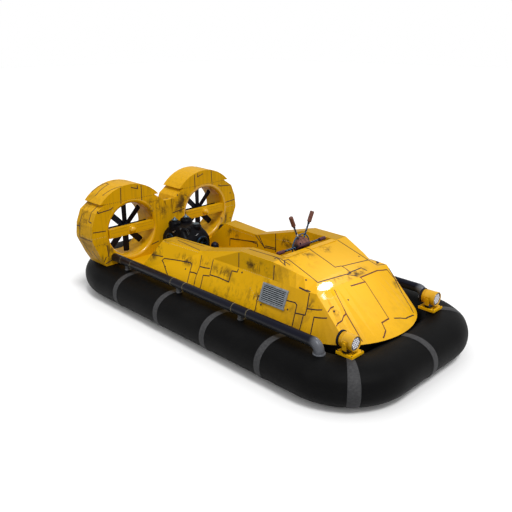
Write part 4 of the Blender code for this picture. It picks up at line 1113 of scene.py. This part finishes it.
# %% Bosses and rivets on the struts
STRUT_X, STRUT_PITCH = -1.523, 0.0185
BOSS = np.vstack([mm(-4, 52, 2, 52, 4, 50, 4, 46.2), arc(0.004, 0.0, 0.0462, 0, 86, 12)])
for side, sign in SIDES:
    boss = lathe(BOSS, (STRUT_X, sign * FAN_Y, FAN_Z), (1, 0, 0), 40)
    build(f"strut_boss_{side}", [boss], gloss_paint, "hull", smooth=35)
    y = np.concatenate([np.arange(-0.300, -0.075, STRUT_PITCH), np.arange(0.078, 0.301, STRUT_PITCH)])
    y, z = (a.ravel() for a in np.meshgrid(sign * FAN_Y + y, FAN_Z + np.array([-0.042, 0.006, 0.042])))
    places = np.stack([np.full(len(y), STRUT_X), y, z], axis=1)
    studs = domes(places, (1, 0, 0), 0.0034, 0.0018, 8)
    build(f"strut_rivets_{side}", [patch(studs)], rivet_dark, "hull")

# %% [markdown]
# ## Vents
#
# A framed grille covers the air intake on each flank. Its slats slope so that rain runs off them.
# The pieces are worked out flat, as distances along, up and out, and then laid on the leaning flank.

# %% Vents
VENT_X, VENT_FOOT, VENT_SIZE = 0.815, 0.571, (0.337, 0.1989)
FOOT_Y, FOOT_Z = 0.76, 0.4103       # the flank's foot, and its top at y 0.60, z 0.80
LEAN = math.atan((FOOT_Y - 0.60) / (0.80 - FOOT_Z))


def on_flank(points, sign):
    """A place on the flank: start + X x along + slope x up + normal x out."""
    foot_y = FOOT_Y - math.tan(LEAN) * (VENT_FOOT - FOOT_Z)
    up = np.array([0, -sign * math.sin(LEAN), math.cos(LEAN)])
    out = np.array([0, sign * math.cos(LEAN), math.sin(LEAN)])
    start = np.array([VENT_X, sign * foot_y, VENT_FOOT])
    return start + points[..., :1] * (1.0, 0, 0) + points[..., 1:2] * up + points[..., 2:] * out


def rectangle(inside):
    """Corners of the vent, moved in by a distance."""
    w, h = (size - inside for size in VENT_SIZE)
    return np.array([(inside, inside), (w, inside), (w, h), (inside, h)])


def vent_frame():
    """A rounded bar 22 mm wide and 16 mm thick carried round the rectangle."""
    path = np.insert(rectangle(0.011), 2, 0.0, axis=1)
    bar = mm(-11, 0.2, -11, 12, -9, 15.5, -6, 16.8, 6, 16.8, 9, 15.5, 11, 12, 11, 0.2)
    return carry(path, bar, (0, 0, 1), closed=True)


def vent_slats(count=8):
    """Blades that lean out and down, each a thin rounded section carried from side to side."""
    w, h = VENT_SIZE
    slat = mm(-4.4, 5, -5, 6.2, 3.8, 12.8, 4.6, 11.6)
    rise = 0.022 + (np.arange(count) + 0.5) * (h - 0.044) / count
    ends = np.array([0.020, w - 0.020])
    grid = np.zeros((count, 2, len(slat), 3))
    grid[..., 0] = ends[None, :, None]
    grid[..., 1] = rise[:, None, None] - slat[None, None, :, 0]
    grid[..., 2] = slat[None, None, :, 1]
    return grid


for side, sign in SIDES:
    w, h = VENT_SIZE
    screws = np.array([(x, y, 0.0166) for x in (0.011, w / 2, w - 0.011) for y in (0.011, h - 0.011)])
    screws = domes(screws, (0, 0, 1), 0.0048, 0.0022, 10)
    parts = [patch(on_flank(vent_frame(), sign), loop=True), patch(on_flank(vent_slats(), sign))]
    parts.append(patch(on_flank(screws, sign)))
    grille = build(f"vent_grille_{side}", parts, vent_paint, "hull", smooth=35)
    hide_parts(f"vent_{side}")
    # Painted shade: a black sheet behind the slats stands for the dark inside of the intake.
    back = np.stack([np.insert(rectangle(0.018), 2, out, axis=1) for out in (0.0004, 0.0020)])
    build(f"vent_shade_sheet_{side}", [patch(on_flank(back, sign))], black_gloss, "hull")

# %% [markdown]
# ## Lamps
#
# A round work lamp stands on each front corner of the skirt. Its case is a turned profile with cooling
# ribs, and a cluster of small lenses sits in its rim.

# %% Lamps
LAMP_Y, LAMP_Z, LAMP_BACK = 0.697, 0.533, 1.874
LAMP_CASE = mm(0, 50, 0, 66, 4, 70, 12, 71.5, 16, 71.5, 17, 68, 21, 68, 22, 72.5, 27, 72.5, 28, 68, 32, 68,
    33, 73.5, 120, 74, 122, 76, 146, 76, 150, 73.5, 150, 69, 146, 66.5, 139, 66, 139, 30)
LAMP_CUP = mm(-20.5, 46, -20.5, 76, -18, 79.5, -3, 79.5, -0.5, 77, -0.5, 50)


def hexagons(radius, step):
    """Points of a triangular lattice that lie within a radius."""
    i, j = np.meshgrid(np.arange(-6, 7), np.arange(-6, 7))
    y, z = (i + j / 2).ravel() * step, (j * math.sqrt(0.75)).ravel() * step
    keep = np.hypot(y, z) < radius
    return np.stack([0 * y[keep], y[keep], z[keep]], axis=1)


def strap(half_width, reach, foot, top, thick=0.006):
    """A flat bar bent to a U: half circles of 22 mm at its two lower corners."""
    r = 0.022
    a = np.radians(np.linspace(0, 90, 8))
    left = np.stack([0 * a, -reach + r - r * np.cos(a), foot + r - r * np.sin(a)], axis=1)
    path = np.vstack([[(0, -reach, top)], left, mirrored(left)[::-1], [(0, reach, top)]])
    half = thick / 2
    bar = [(-half, -half_width), (-half, half_width), (half, half_width), (half, -half_width)]
    return carry(path, bar, (1, 0, 0))


LAMP_GLASS = mm(138.5, 3, 138.5, 65.5, 142.5, 65.5, 143.5, 60, 143.5, 3)
LAMP_KNOB = mm(0, 4, 0, 15, 8, 15, 10, 12, 10, 4)
ROUND_PARTS = (         # piece, outline, steps, finish, node it stands for
    ("case", LAMP_CASE, 56, lamp_paint, "housing"), ("cup", LAMP_CUP, 56, navy_metal, "ring"),
    ("glass", LAMP_GLASS, 48, lamp_grey, "lens"),
)
for side, sign in SIDES:
    back = np.array([LAMP_BACK, sign * LAMP_Y, LAMP_Z])
    for part, outline, steps, finish, node in ROUND_PARTS:
        made = build(f"lamp_{part}_{side}", [lathe(outline, back, (1, 0, 0), steps)], finish, "hull", smooth=35)
        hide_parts(f"lamp_{node}_{side}")
    bulbs = domes(hexagons(0.054, 0.0225) + back + (0.1433, 0, 0), (1, 0, 0), 0.0096, 0.006, 14)
    build(f"lamp_bulbs_{side}", [patch(bulbs)], lamp_white, "hull")
    foot = np.array([1.9555, sign * LAMP_Y, 0.0])
    yoke = [patch(strap(0.022, 0.0826, 0.4395, LAMP_Z + 0.030) + foot)]
    yoke += [lathe(LAMP_KNOB, foot + (0, k * 0.0835, LAMP_Z), (0, k, 0), 16) for k in (-1, 1)]
    yoke = build(f"lamp_bracket_{side}", yoke, lamp_bracket, "hull", smooth=40)
    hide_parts(f"lamp_yoke_{side}")
    corners = np.array([(x, sign * y, 0.436) for x in (1.879, 2.032) for y in (0.619, 0.766)])
    bolts = domes(corners, (0, 0, 1), 0.008, 0.006, 6)
    build(f"lamp_bolts_{side}", [patch(bolts)], navy_metal, "hull")

# %% [markdown]
# ## Stuffed pieces
#
# A cushion is cloth that air or foam pushes outwards. A slightly smaller closed skin is remeshed
# evenly, blown up with Blender's cloth for twenty frames, and held within a few millimetres of where
# it began. Piping and seams come after that, cast onto the swollen surface.

# %% Blow up a skin, and lay things on it
from mathutils import Vector
from mathutils.bvhtree import BVHTree


def coordinates(mesh):
    """The mesh's points as an array."""
    points = np.zeros(len(mesh.vertices) * 3)
    mesh.vertices.foreach_get("co", points)
    return points.reshape(-1, 3)


def frozen(piece):
    """A mesh of the piece with its modifiers applied."""
    return bpy.data.meshes.new_from_object(piece.evaluated_get(bpy.context.evaluated_depsgraph_get()))


def inflate(piece, voxel, most, low=-1.0, pressure=4.0, frames=20):
    """Remesh, blow up as cloth without gravity, and move no point further than most, nor below low."""
    even = piece.modifiers.new("even", "REMESH")
    even.mode, even.voxel_size, even.use_smooth_shade = "VOXEL", voxel, True
    mesh = frozen(piece)
    piece.modifiers.clear()
    piece.data = mesh
    start = coordinates(mesh)
    cloth = piece.modifiers.new("cloth", "CLOTH")
    cloth.settings.use_pressure = True
    cloth.settings.uniform_pressure_force = pressure
    cloth.settings.effector_weights.gravity = 0.0
    cloth.point_cache.frame_end = frames
    for number in range(1, frames + 1):
        bpy.context.scene.frame_set(number)
    swollen = frozen(piece)
    move = coordinates(swollen) - start
    piece.modifiers.clear()
    bpy.context.scene.frame_set(1)
    far = np.linalg.norm(move, axis=1, keepdims=True)
    points = start + move * np.minimum(1.0, most / np.maximum(far, 1e-9))
    points[:, 2] = np.maximum(points[:, 2], low)
    mesh.vertices.foreach_set("co", points.ravel())
    mesh.update()
    piece.modifiers.new("finer", "SUBSURF").levels = 1
    piece.modifiers["finer"].render_levels = 1
    print(f"{piece.name}: points moved up to {1000 * far.max():.0f} mm, kept to {1000 * most:.0f}")


def cast_on(piece, points, directions):
    """Places and normals where rays from the points first meet the piece's final surface."""
    tree = BVHTree.FromObject(piece, bpy.context.evaluated_depsgraph_get())
    directions = np.broadcast_to(directions, points.shape)
    hits = [tree.ray_cast(Vector(p), Vector(d)) for p, d in zip(points, directions)]
    kept = [hit for hit in hits if hit[0] is not None]
    return np.array([hit[0] for hit in kept]), np.array([hit[1] for hit in kept])


def piping(places, normals, radius, closed=True, sides=8):
    """A thin round cord half sunk in the surface along the places."""
    return carry(places, circle(radius, sides), unit(normals), closed=closed)


# %% [markdown]
# ## Steering head
#
# The handlebar and the two levers are dark steel with spiral stripes: blue painted sheen and light
# painted highlights, as on twisted bars. A plain blue hoop guards the middle, and a leather pad is laced
# round it. All of it turns with the raked column.

# %% Axes of the steering head
STEER = np.array([0.772, 0.0, 0.986])
UP = np.array([-math.sin(RAKE), 0.0, math.cos(RAKE)])
AHEAD, ACROSS = np.array([math.cos(RAKE), 0.0, math.sin(RAKE)]), np.array([0.0, 1.0, 0.0])
LEVER_FOOT, LEVER_TOP = np.array([0.757, 0.010, 0.990]), np.array([0.757, 0.173, 1.329])
ROD_SHARE = 0.68


def lever_line(sign, shares):
    """Points along a lever's middle line."""
    foot, top = (point * (1, sign, 1) for point in (LEVER_FOOT, LEVER_TOP))
    return foot + np.asarray(shares, float)[:, None] * (top - foot)


def strand(path, radius, across, columns=18, size=None):
    """A round bar with UV: metres along it, and the share of the way round it."""
    path = np.asarray(path, float)
    grid = carry(path, circle(radius, columns), across)
    if size is not None:
        grid = path[:, None] + (grid - path[:, None]) * np.asarray(size)[:, None, None]
    along = np.concatenate([[0], np.cumsum(np.linalg.norm(np.diff(path, axis=0), axis=1))])
    return patch(grid, uv=(along, np.linspace(0, 1, columns + 1)))


# %% Handlebar, levers and hoop
BAR_END, BAR_R, LEVER_R, HOOP_R = 0.2858, 0.012, 0.0098, 0.0072
STEM = mm(-59.5, 4, -59.5, 17, -58, 18, 8, 18, 9.8, 16, 9.8, 4)
COLLAR = mm(0, 8, 0, 11.8, 2, 13.2, 20, 13.2, 22, 11.8, 22, 8)
SLEEVE = mm(0, 8, 0, 11.2, 2, 12.5, 34, 12.5, 36, 11.2, 36, 8)


def eased(path, share):
    """Sizes for strand: 1 along the bar, and a share of it at both ends."""
    return np.concatenate([[share], np.ones(len(path) - 2), [share]])


y = np.concatenate([[-BAR_END, -0.2844], np.linspace(-0.276, 0.276, 29), [0.2844, BAR_END]])
bar = STEER + y[:, None] * ACROSS
parts = [strand(bar, BAR_R, (0, 0, 1), size=eased(bar, 0.85)), lathe(STEM, STEER, UP, 24)]
parts += [strand(lever_line(sign, np.linspace(0.0, ROD_SHARE, 18)), LEVER_R, (1, 0, 0)) for _, sign in SIDES]
rods = build("steering_rods", parts, twist_sheen_steel, "steering", smooth=50)
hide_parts("steering_frame")

half_turn = np.linspace(0, np.pi, 41)
cosine, sine = np.cos(half_turn)[:, None], np.sin(half_turn)[:, None]
hoop = np.array([0.757, 0.0, 0.986]) - 0.132 * cosine * ACROSS + 0.124 * sine * (0, 0, 1)
legs = [(0.757, -0.132, z) for z in (0.918, 0.920, 0.955)]
hoop = np.vstack([legs, hoop, mirrored(legs)[::-1]])
hoop = strand(hoop, HOOP_R, (1, 0, 0), 14, eased(hoop, 0.7))
build("steering_hoop", [hoop], blue_steel, "steering", smooth=60)

parts = []
for side, sign in SIDES:
    low, high = lever_line(sign, [0.32, ROD_SHARE - 0.055])
    parts.append(lathe(COLLAR, high, high - low, 20))
    parts.append(lathe(COLLAR, STEER + (0, sign * 0.2635, 0), (0, sign, 0), 20))
build("steering_collars", parts, navy_metal, "steering", smooth=40)
low, high = lever_line(-1.0, [0.30, 1.0])
build("lever_sleeve", [lathe(SLEEVE, low, high - low, 20)], bright_metal, "steering", smooth=40)

# %% Grips
def grip(start, end, radius, ridges, depth, round_end):
    """A turned grip: shallow ridges, radius - depth x a squared cosine, and a rounded far end."""
    along = end - start
    length = np.linalg.norm(along)
    x = np.linspace(0.0, 1.0, 12 * ridges + 1)
    body = radius - depth * np.cos(np.pi * ridges * x) ** 16
    nose = arc(length - round_end, radius - round_end, round_end, 12, 90, 7)
    x = 0.003 + x * (length - round_end - 0.003)
    foot = [(0.0004, 0.006), (0.0004, radius - 0.004)]
    outline = np.vstack([foot, np.stack([x, body], axis=1), nose, [(length, 0.003)]])
    return lathe(outline, start, along, 28)


RIM = mm(0, 12, 0, 18.5, 2, 20.2, 6, 20.2, 8, 18.5, 8, 12)
for side, sign in SIDES:
    start, end = lever_line(sign, [ROD_SHARE + 0.001, 1.0])
    made = [grip(start, end, 0.0232, 5, 0.0012, 0.007)]
    made = build(f"lever_grip_{side}_leather", made, leather, "steering", smooth=50)
    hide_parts(f"lever_grip_{side}")
    start, end = (STEER + (0, sign * reach, 0) for reach in (0.2865, 0.3825))
    made = [grip(start, end, 0.0188, 6, 0.0014, 0.006)]
    made = build(f"bar_grip_{side}_leather", made, purple_leather, "steering", smooth=50)
    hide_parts(f"bar_grip_{side}")
    rims = [lathe(RIM + (along, 0), start, (0, sign, 0), 24) for along in (0.0005, 0.083)]
    build(f"bar_grip_rims_{side}", rims, rim_purple, "steering", smooth=40)

# %% Steering pad
PAD = np.array([        # height up the column, half length, half width, in millimetres
    (-33, 60, 50), (-33, 76, 62), (-26, 90, 74), (-14, 98, 80), (10, 98, 80), (42, 90, 73), (66, 68, 55),
    (84, 48, 37), (90, 34, 24),
]) / 1000
CREASES = (-52, -18, 30, 58, 90, 124, 160, 205, 250)            # degrees round the pad
BUTTON, BUTTON_OUT = (0.813, -0.075, 1.034), (AHEAD * 0.6 + UP * 0.6 + (0, -0.5, 0))
BUTTON_RIM = mm(-2, 10, 2.2, 9.8, 2.8, 8.5, 1, 7, -1.5, 6.6)


def pad_skin(levels, columns=48, corner=2.6):
    """Rings of a squared circle: half length x its cosine along the bar, half width x its sine ahead."""
    wide, deep = squared(evenly(columns), corner)
    h, a, b = (levels[:, i, None, None] for i in range(3))
    return STEER + UP * h + ACROSS * a * wide[None, :, None] + AHEAD * b * deep[None, :, None]


pad = build("steering_pad_leather", [patch(pad_skin(PAD))], pad_leather, "steering", smooth=60)
inflate(pad, 0.0045, 0.008)
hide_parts("steering_pad")


def on_pad(angles, heights):
    """Places at angles round the pad and heights up the column, cast inwards onto its skin."""
    angles, heights = (column.ravel() for column in np.broadcast_arrays(angles, heights))
    out = np.cos(angles)[:, None] * ACROSS + np.sin(angles)[:, None] * AHEAD
    return cast_on(pad, STEER + UP * heights[:, None] + out * 0.3, -out)


rims = [patch(piping(*on_pad(evenly(72), h), r), loop=True) for h, r in ((-0.016, 0.0042), (0.052, 0.0022))]
build("pad_piping", rims, purple_leather, "steering")
# The crease cords are dark leather: painted shade in the pad's folds.
creases = [on_pad(math.radians(a), np.linspace(-0.008, 0.074, 14)) for a in CREASES]
creases = [patch(piping(*crease, 0.0016, closed=False)) for crease in creases]
build("pad_creases", creases, crease_shade_leather, "steering")
fold = STEER + UP * 0.084 + AHEAD * 0.014 - 0.052 * cosine * ACROSS + 0.016 * sine * UP
size = np.sqrt(np.clip(1 - cosine[:, 0] ** 6, 0.04, 1))
build("pad_fold", [strand(fold, 0.013, AHEAD, 18, size)], leather, "steering", smooth=60)
spot, normal = cast_on(pad, np.array([BUTTON]) + BUTTON_OUT * 0.2, -unit(BUTTON_OUT))
build("pad_button_rim", [lathe(BUTTON_RIM, spot[0], normal[0], 22)], rim_purple, "steering")
build("pad_button", [patch(domes(spot, normal, 0.0070, 0.0020, 20))], black_gloss, "steering")

# %% [markdown]
# ## Engine
#
# The engine sits low between the flanks, under a black moulded cover. Two domes at its rear carry
# pointed caps, and round intakes with blue rims open on its front and flanks.

# %% Cover and domes
DECK_Z = 0.4106
COVER = (               # height, rear x, front x, half width, squareness of the section
    (DECK_Z, -1.459, -0.951, 0.208, 12.0), (0.600, -1.460, -0.951, 0.209, 11.0),
    (0.655, -1.459, -0.952, 0.208, 9.0), (0.705, -1.438, -0.985, 0.198, 8.0),
    (0.750, -1.404, -1.040, 0.181, 7.0), (0.785, -1.368, -1.070, 0.160, 6.0),
    (0.806, -1.340, -1.085, 0.140, 5.0), (0.812, -1.318, -1.100, 0.118, 4.5),
)


def cover_skin(levels, columns=72):
    """Rings of a squared ellipse: half length x squared cosine, half width x squared sine."""
    z, rear, front, half, square = (np.array(levels)[:, i, None] for i in range(5))
    along, aside = squared(evenly(columns), square)
    x = (rear + front) / 2 + (front - rear) / 2 * along
    return np.stack([x, half * aside, z + 0 * x], axis=-1)


def dome(place, radius, top, foot=0.70, shoulder=0.034):
    """A post with a rounded shoulder and a nearly flat crown."""
    corner = arc(top - foot - shoulder, radius - shoulder, shoulder, 0, 90, 9)
    return lathe(np.vstack([[(0.0, radius)], corner, [(top - foot, 0.004)]]), (*place, foot), (0, 0, 1), 40)


REAR_DOMES = [(-1.31, sign * 0.093) for _, sign in SIDES]
FRONT_DOMES = [(-1.10, sign * 0.086) for _, sign in SIDES]
parts = [patch(cover_skin(COVER))]
parts += [dome(place, 0.0812, 0.8528) for place in REAR_DOMES]
parts += [dome(place, 0.0702, 0.8148) for place in FRONT_DOMES]
cover = build("engine_cover", parts, black_gloss, "hull", smooth=50)
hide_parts("engine_block")

# %% Caps, disc, intakes and fittings on the cover
CAP = mm(0.3, 4, 0.3, 26, 2, 28, 11, 28, 12.5, 31, 12.5, 39, 14.5, 41.2, 16.5, 41.2, 18.5, 38, 19.5, 29,
    28, 21, 40, 12, 49, 6, 52.2, 2)
for (side, _), place in zip(SIDES, REAR_DOMES):
    cap = [lathe(CAP, (*place, 0.853), (0, 0, 1), 32)]
    cap = build(f"engine_cap_{side}", cap, cap_steel, "hull", smooth=35)
    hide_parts(f"engine_cone_{side}")
LID = mm(0.3, 4, 0.3, 38, 3, 44.5, 7, 45.2, 10, 44, 11.5, 40, 10.5, 36, 10, 12, 11.8, 10, 11.8, 2)
lid = [lathe(LID, (*FRONT_DOMES[1], 0.815), (0, 0, 1), 36)]
lid = build("engine_lid", lid, cap_steel, "hull", smooth=35)
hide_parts("engine_plug")


def torus(centre, axis, radius, thick):
    """A ring with a round section."""
    return patch(turned(circle(thick, 16) + (0.0, radius), centre, axis, 56), loop=True)


PULLEY_AT = np.array([-0.9497, 0.045, 0.600])
front = [torus(PULLEY_AT + (0.016, 0, 0), (1, 0, 0), 0.083, 0.0155)]
spoke = mm(-6, -5, 6, -5, 4, 5, -4, 5)
for a in evenly(5):
    radii = np.array([0.012, 0.055, 0.072])[:, None] * (0.0, math.cos(a), math.sin(a))
    front.append(patch(carry(PULLEY_AT + (0.012, 0, 0) + radii, spoke, (1, 0, 0))))
boss = mm(0.3, 22, 18, 22, 22, 18, 22, 3)
front.append(lathe(boss, PULLEY_AT, (1, 0, 0), 24))
ring = build("engine_front_ring", front, ring_blue, "hull", smooth=45)
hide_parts("engine_pulley")

sides = []
for side, sign in SIDES:
    at = np.array([-1.275, sign * 0.2068, 0.640])
    sides.append(torus(at, (0, sign, 0), 0.066, 0.0115))
    sides.append(torus(at, (0, sign, 0), 0.036, 0.005))
build("engine_side_rings", sides, ring_blue, "hull", smooth=45)

CAN_X, CAN_Y = -0.870, 0.200
CAN = mm(0, 46, 0, 49.8, 12, 50.2, 14, 47.5, 20, 47.5, 22, 50.2, 150, 50.2, 160, 47.5, 172, 39, 183, 25,
    189, 12, 190, 3)
can = [lathe(CAN, (CAN_X, CAN_Y, DECK_Z), (0, 0, 1), 36)]
can = build("engine_can", can, navy_metal, "hull", smooth=35)
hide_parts("engine_filter")
ties = [torus((CAN_X, CAN_Y, z), (0, 0, 1), 0.0498, 0.0018) for z in (0.47, 0.55)]
build("engine_can_ties", ties, ring_blue, "hull")


def small_bar(at, along, across, size):
    """A bar with rounded edges: size along, size across, and size up."""
    length, width, thick = size
    half, r = width / 2, 0.3 * thick
    profile = [(-half, 0), (-half, thick - r), (r - half, thick), (half - r, thick), (half, thick - r), (half, 0)]
    path = np.asarray(at, float) + np.array([-0.5, 0.5])[:, None] * length * unit(np.asarray(along, float))
    return patch(carry(path, profile, across))


outward = unit(np.array([0.10, -0.75, 0.65]))
forward = unit(np.array([0.80, 0.0, 0.60]))
clips = [small_bar((-1.205, -0.196, 0.742), (1, 0, 0.15), outward, (0.034, 0.010, 0.012))]
clips.append(small_bar((-0.985, 0.000, 0.712), (0, 1, 0.5), forward, (0.044, 0.006, 0.006)))
build("engine_clips", clips, bright_metal, "hull")
FIRST_RIB, NEXT_RIB = np.array([-1.040, -0.110, 0.789]), np.array([0.011, -0.004, -0.012])
ribs = [small_bar(FIRST_RIB + i * NEXT_RIB, (-0.3, 0.9, 0.1), forward, (0.052, 0.005, 0.010)) for i in range(5)]
nut = mm(-4, 14, 10, 14, 12, 12, 12, 7, 4, 6)
ribs.append(lathe(nut, (-1.115, -0.148, 0.790), (0.15, -0.5, 0.85), 6))
ribs.append(small_bar((-1.190, -0.186, 0.756), (0.9, -0.1, 0.5), outward, (0.030, 0.022, 0.008)))
build("engine_ribs", ribs, dull_metal, "hull")

# %% [markdown]
# ## Seat
#
# The driver sits on a low bench in the well, between the engine and the column. It is mostly hidden by
# the flank in the photograph, so it is kept plain: a plated box and a stuffed vinyl cushion.

# %% Seat
SEAT_LOW, SEAT_HIGH = np.array([-0.437, -0.160, 0.4556]), np.array([0.147, 0.160, 0.532])


def cushion_skin(low, high, rows=9, columns=96, corner=7.0):
    """Rings of a squared oval from the bottom to the top, drawn in by a quarter circle at both edges."""
    along, aside = squared(evenly(columns), corner)
    lift = np.linspace(-1, 1, rows)
    inset = 0.020 * (1 - np.sqrt(np.clip(1 - lift ** 4, 0, 1)))[:, None]
    half, middle = (high - low) / 2, (high + low) / 2
    x = middle[0] + (half[0] - inset) * along
    y = middle[1] + (half[1] - inset) * aside
    return np.stack([x, y, middle[2] + half[2] * lift[:, None] + 0 * x], axis=-1)


cushion = build("seat_pad", [patch(cushion_skin(SEAT_LOW, SEAT_HIGH))], vinyl, "hull", smooth=60)
inflate(cushion, 0.006, 0.018, low=SEAT_LOW[2])
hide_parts("seat_cushion")


def round_cushion(z, count=160):
    """Places round the cushion at a height, cast inwards from a rectangle outside it."""
    turn = 2 * np.pi * (np.arange(count) + 0.5) / count
    middle = (SEAT_LOW + SEAT_HIGH) / 2
    target = np.stack([middle[0] + 0.20 * np.cos(turn), 0.07 * np.sin(turn), np.full(count, z)], axis=1)
    away = np.stack([np.cos(turn), np.sin(turn), 0 * turn], axis=1)
    return cast_on(cushion, target + away * 0.5, -away)


cords = [patch(piping(*round_cushion(z), 0.0038), loop=True) for z in (0.4660, 0.5230)]
for x in (-0.240, -0.050):
    line = np.stack([np.full(40, x), np.linspace(-0.150, 0.150, 40), np.full(40, 0.62)], axis=1)
    cords.append(patch(piping(*cast_on(cushion, line, np.array([0, 0, -1.0])), 0.0022, closed=False)))
build("seat_piping", cords, seat_cord, "hull")
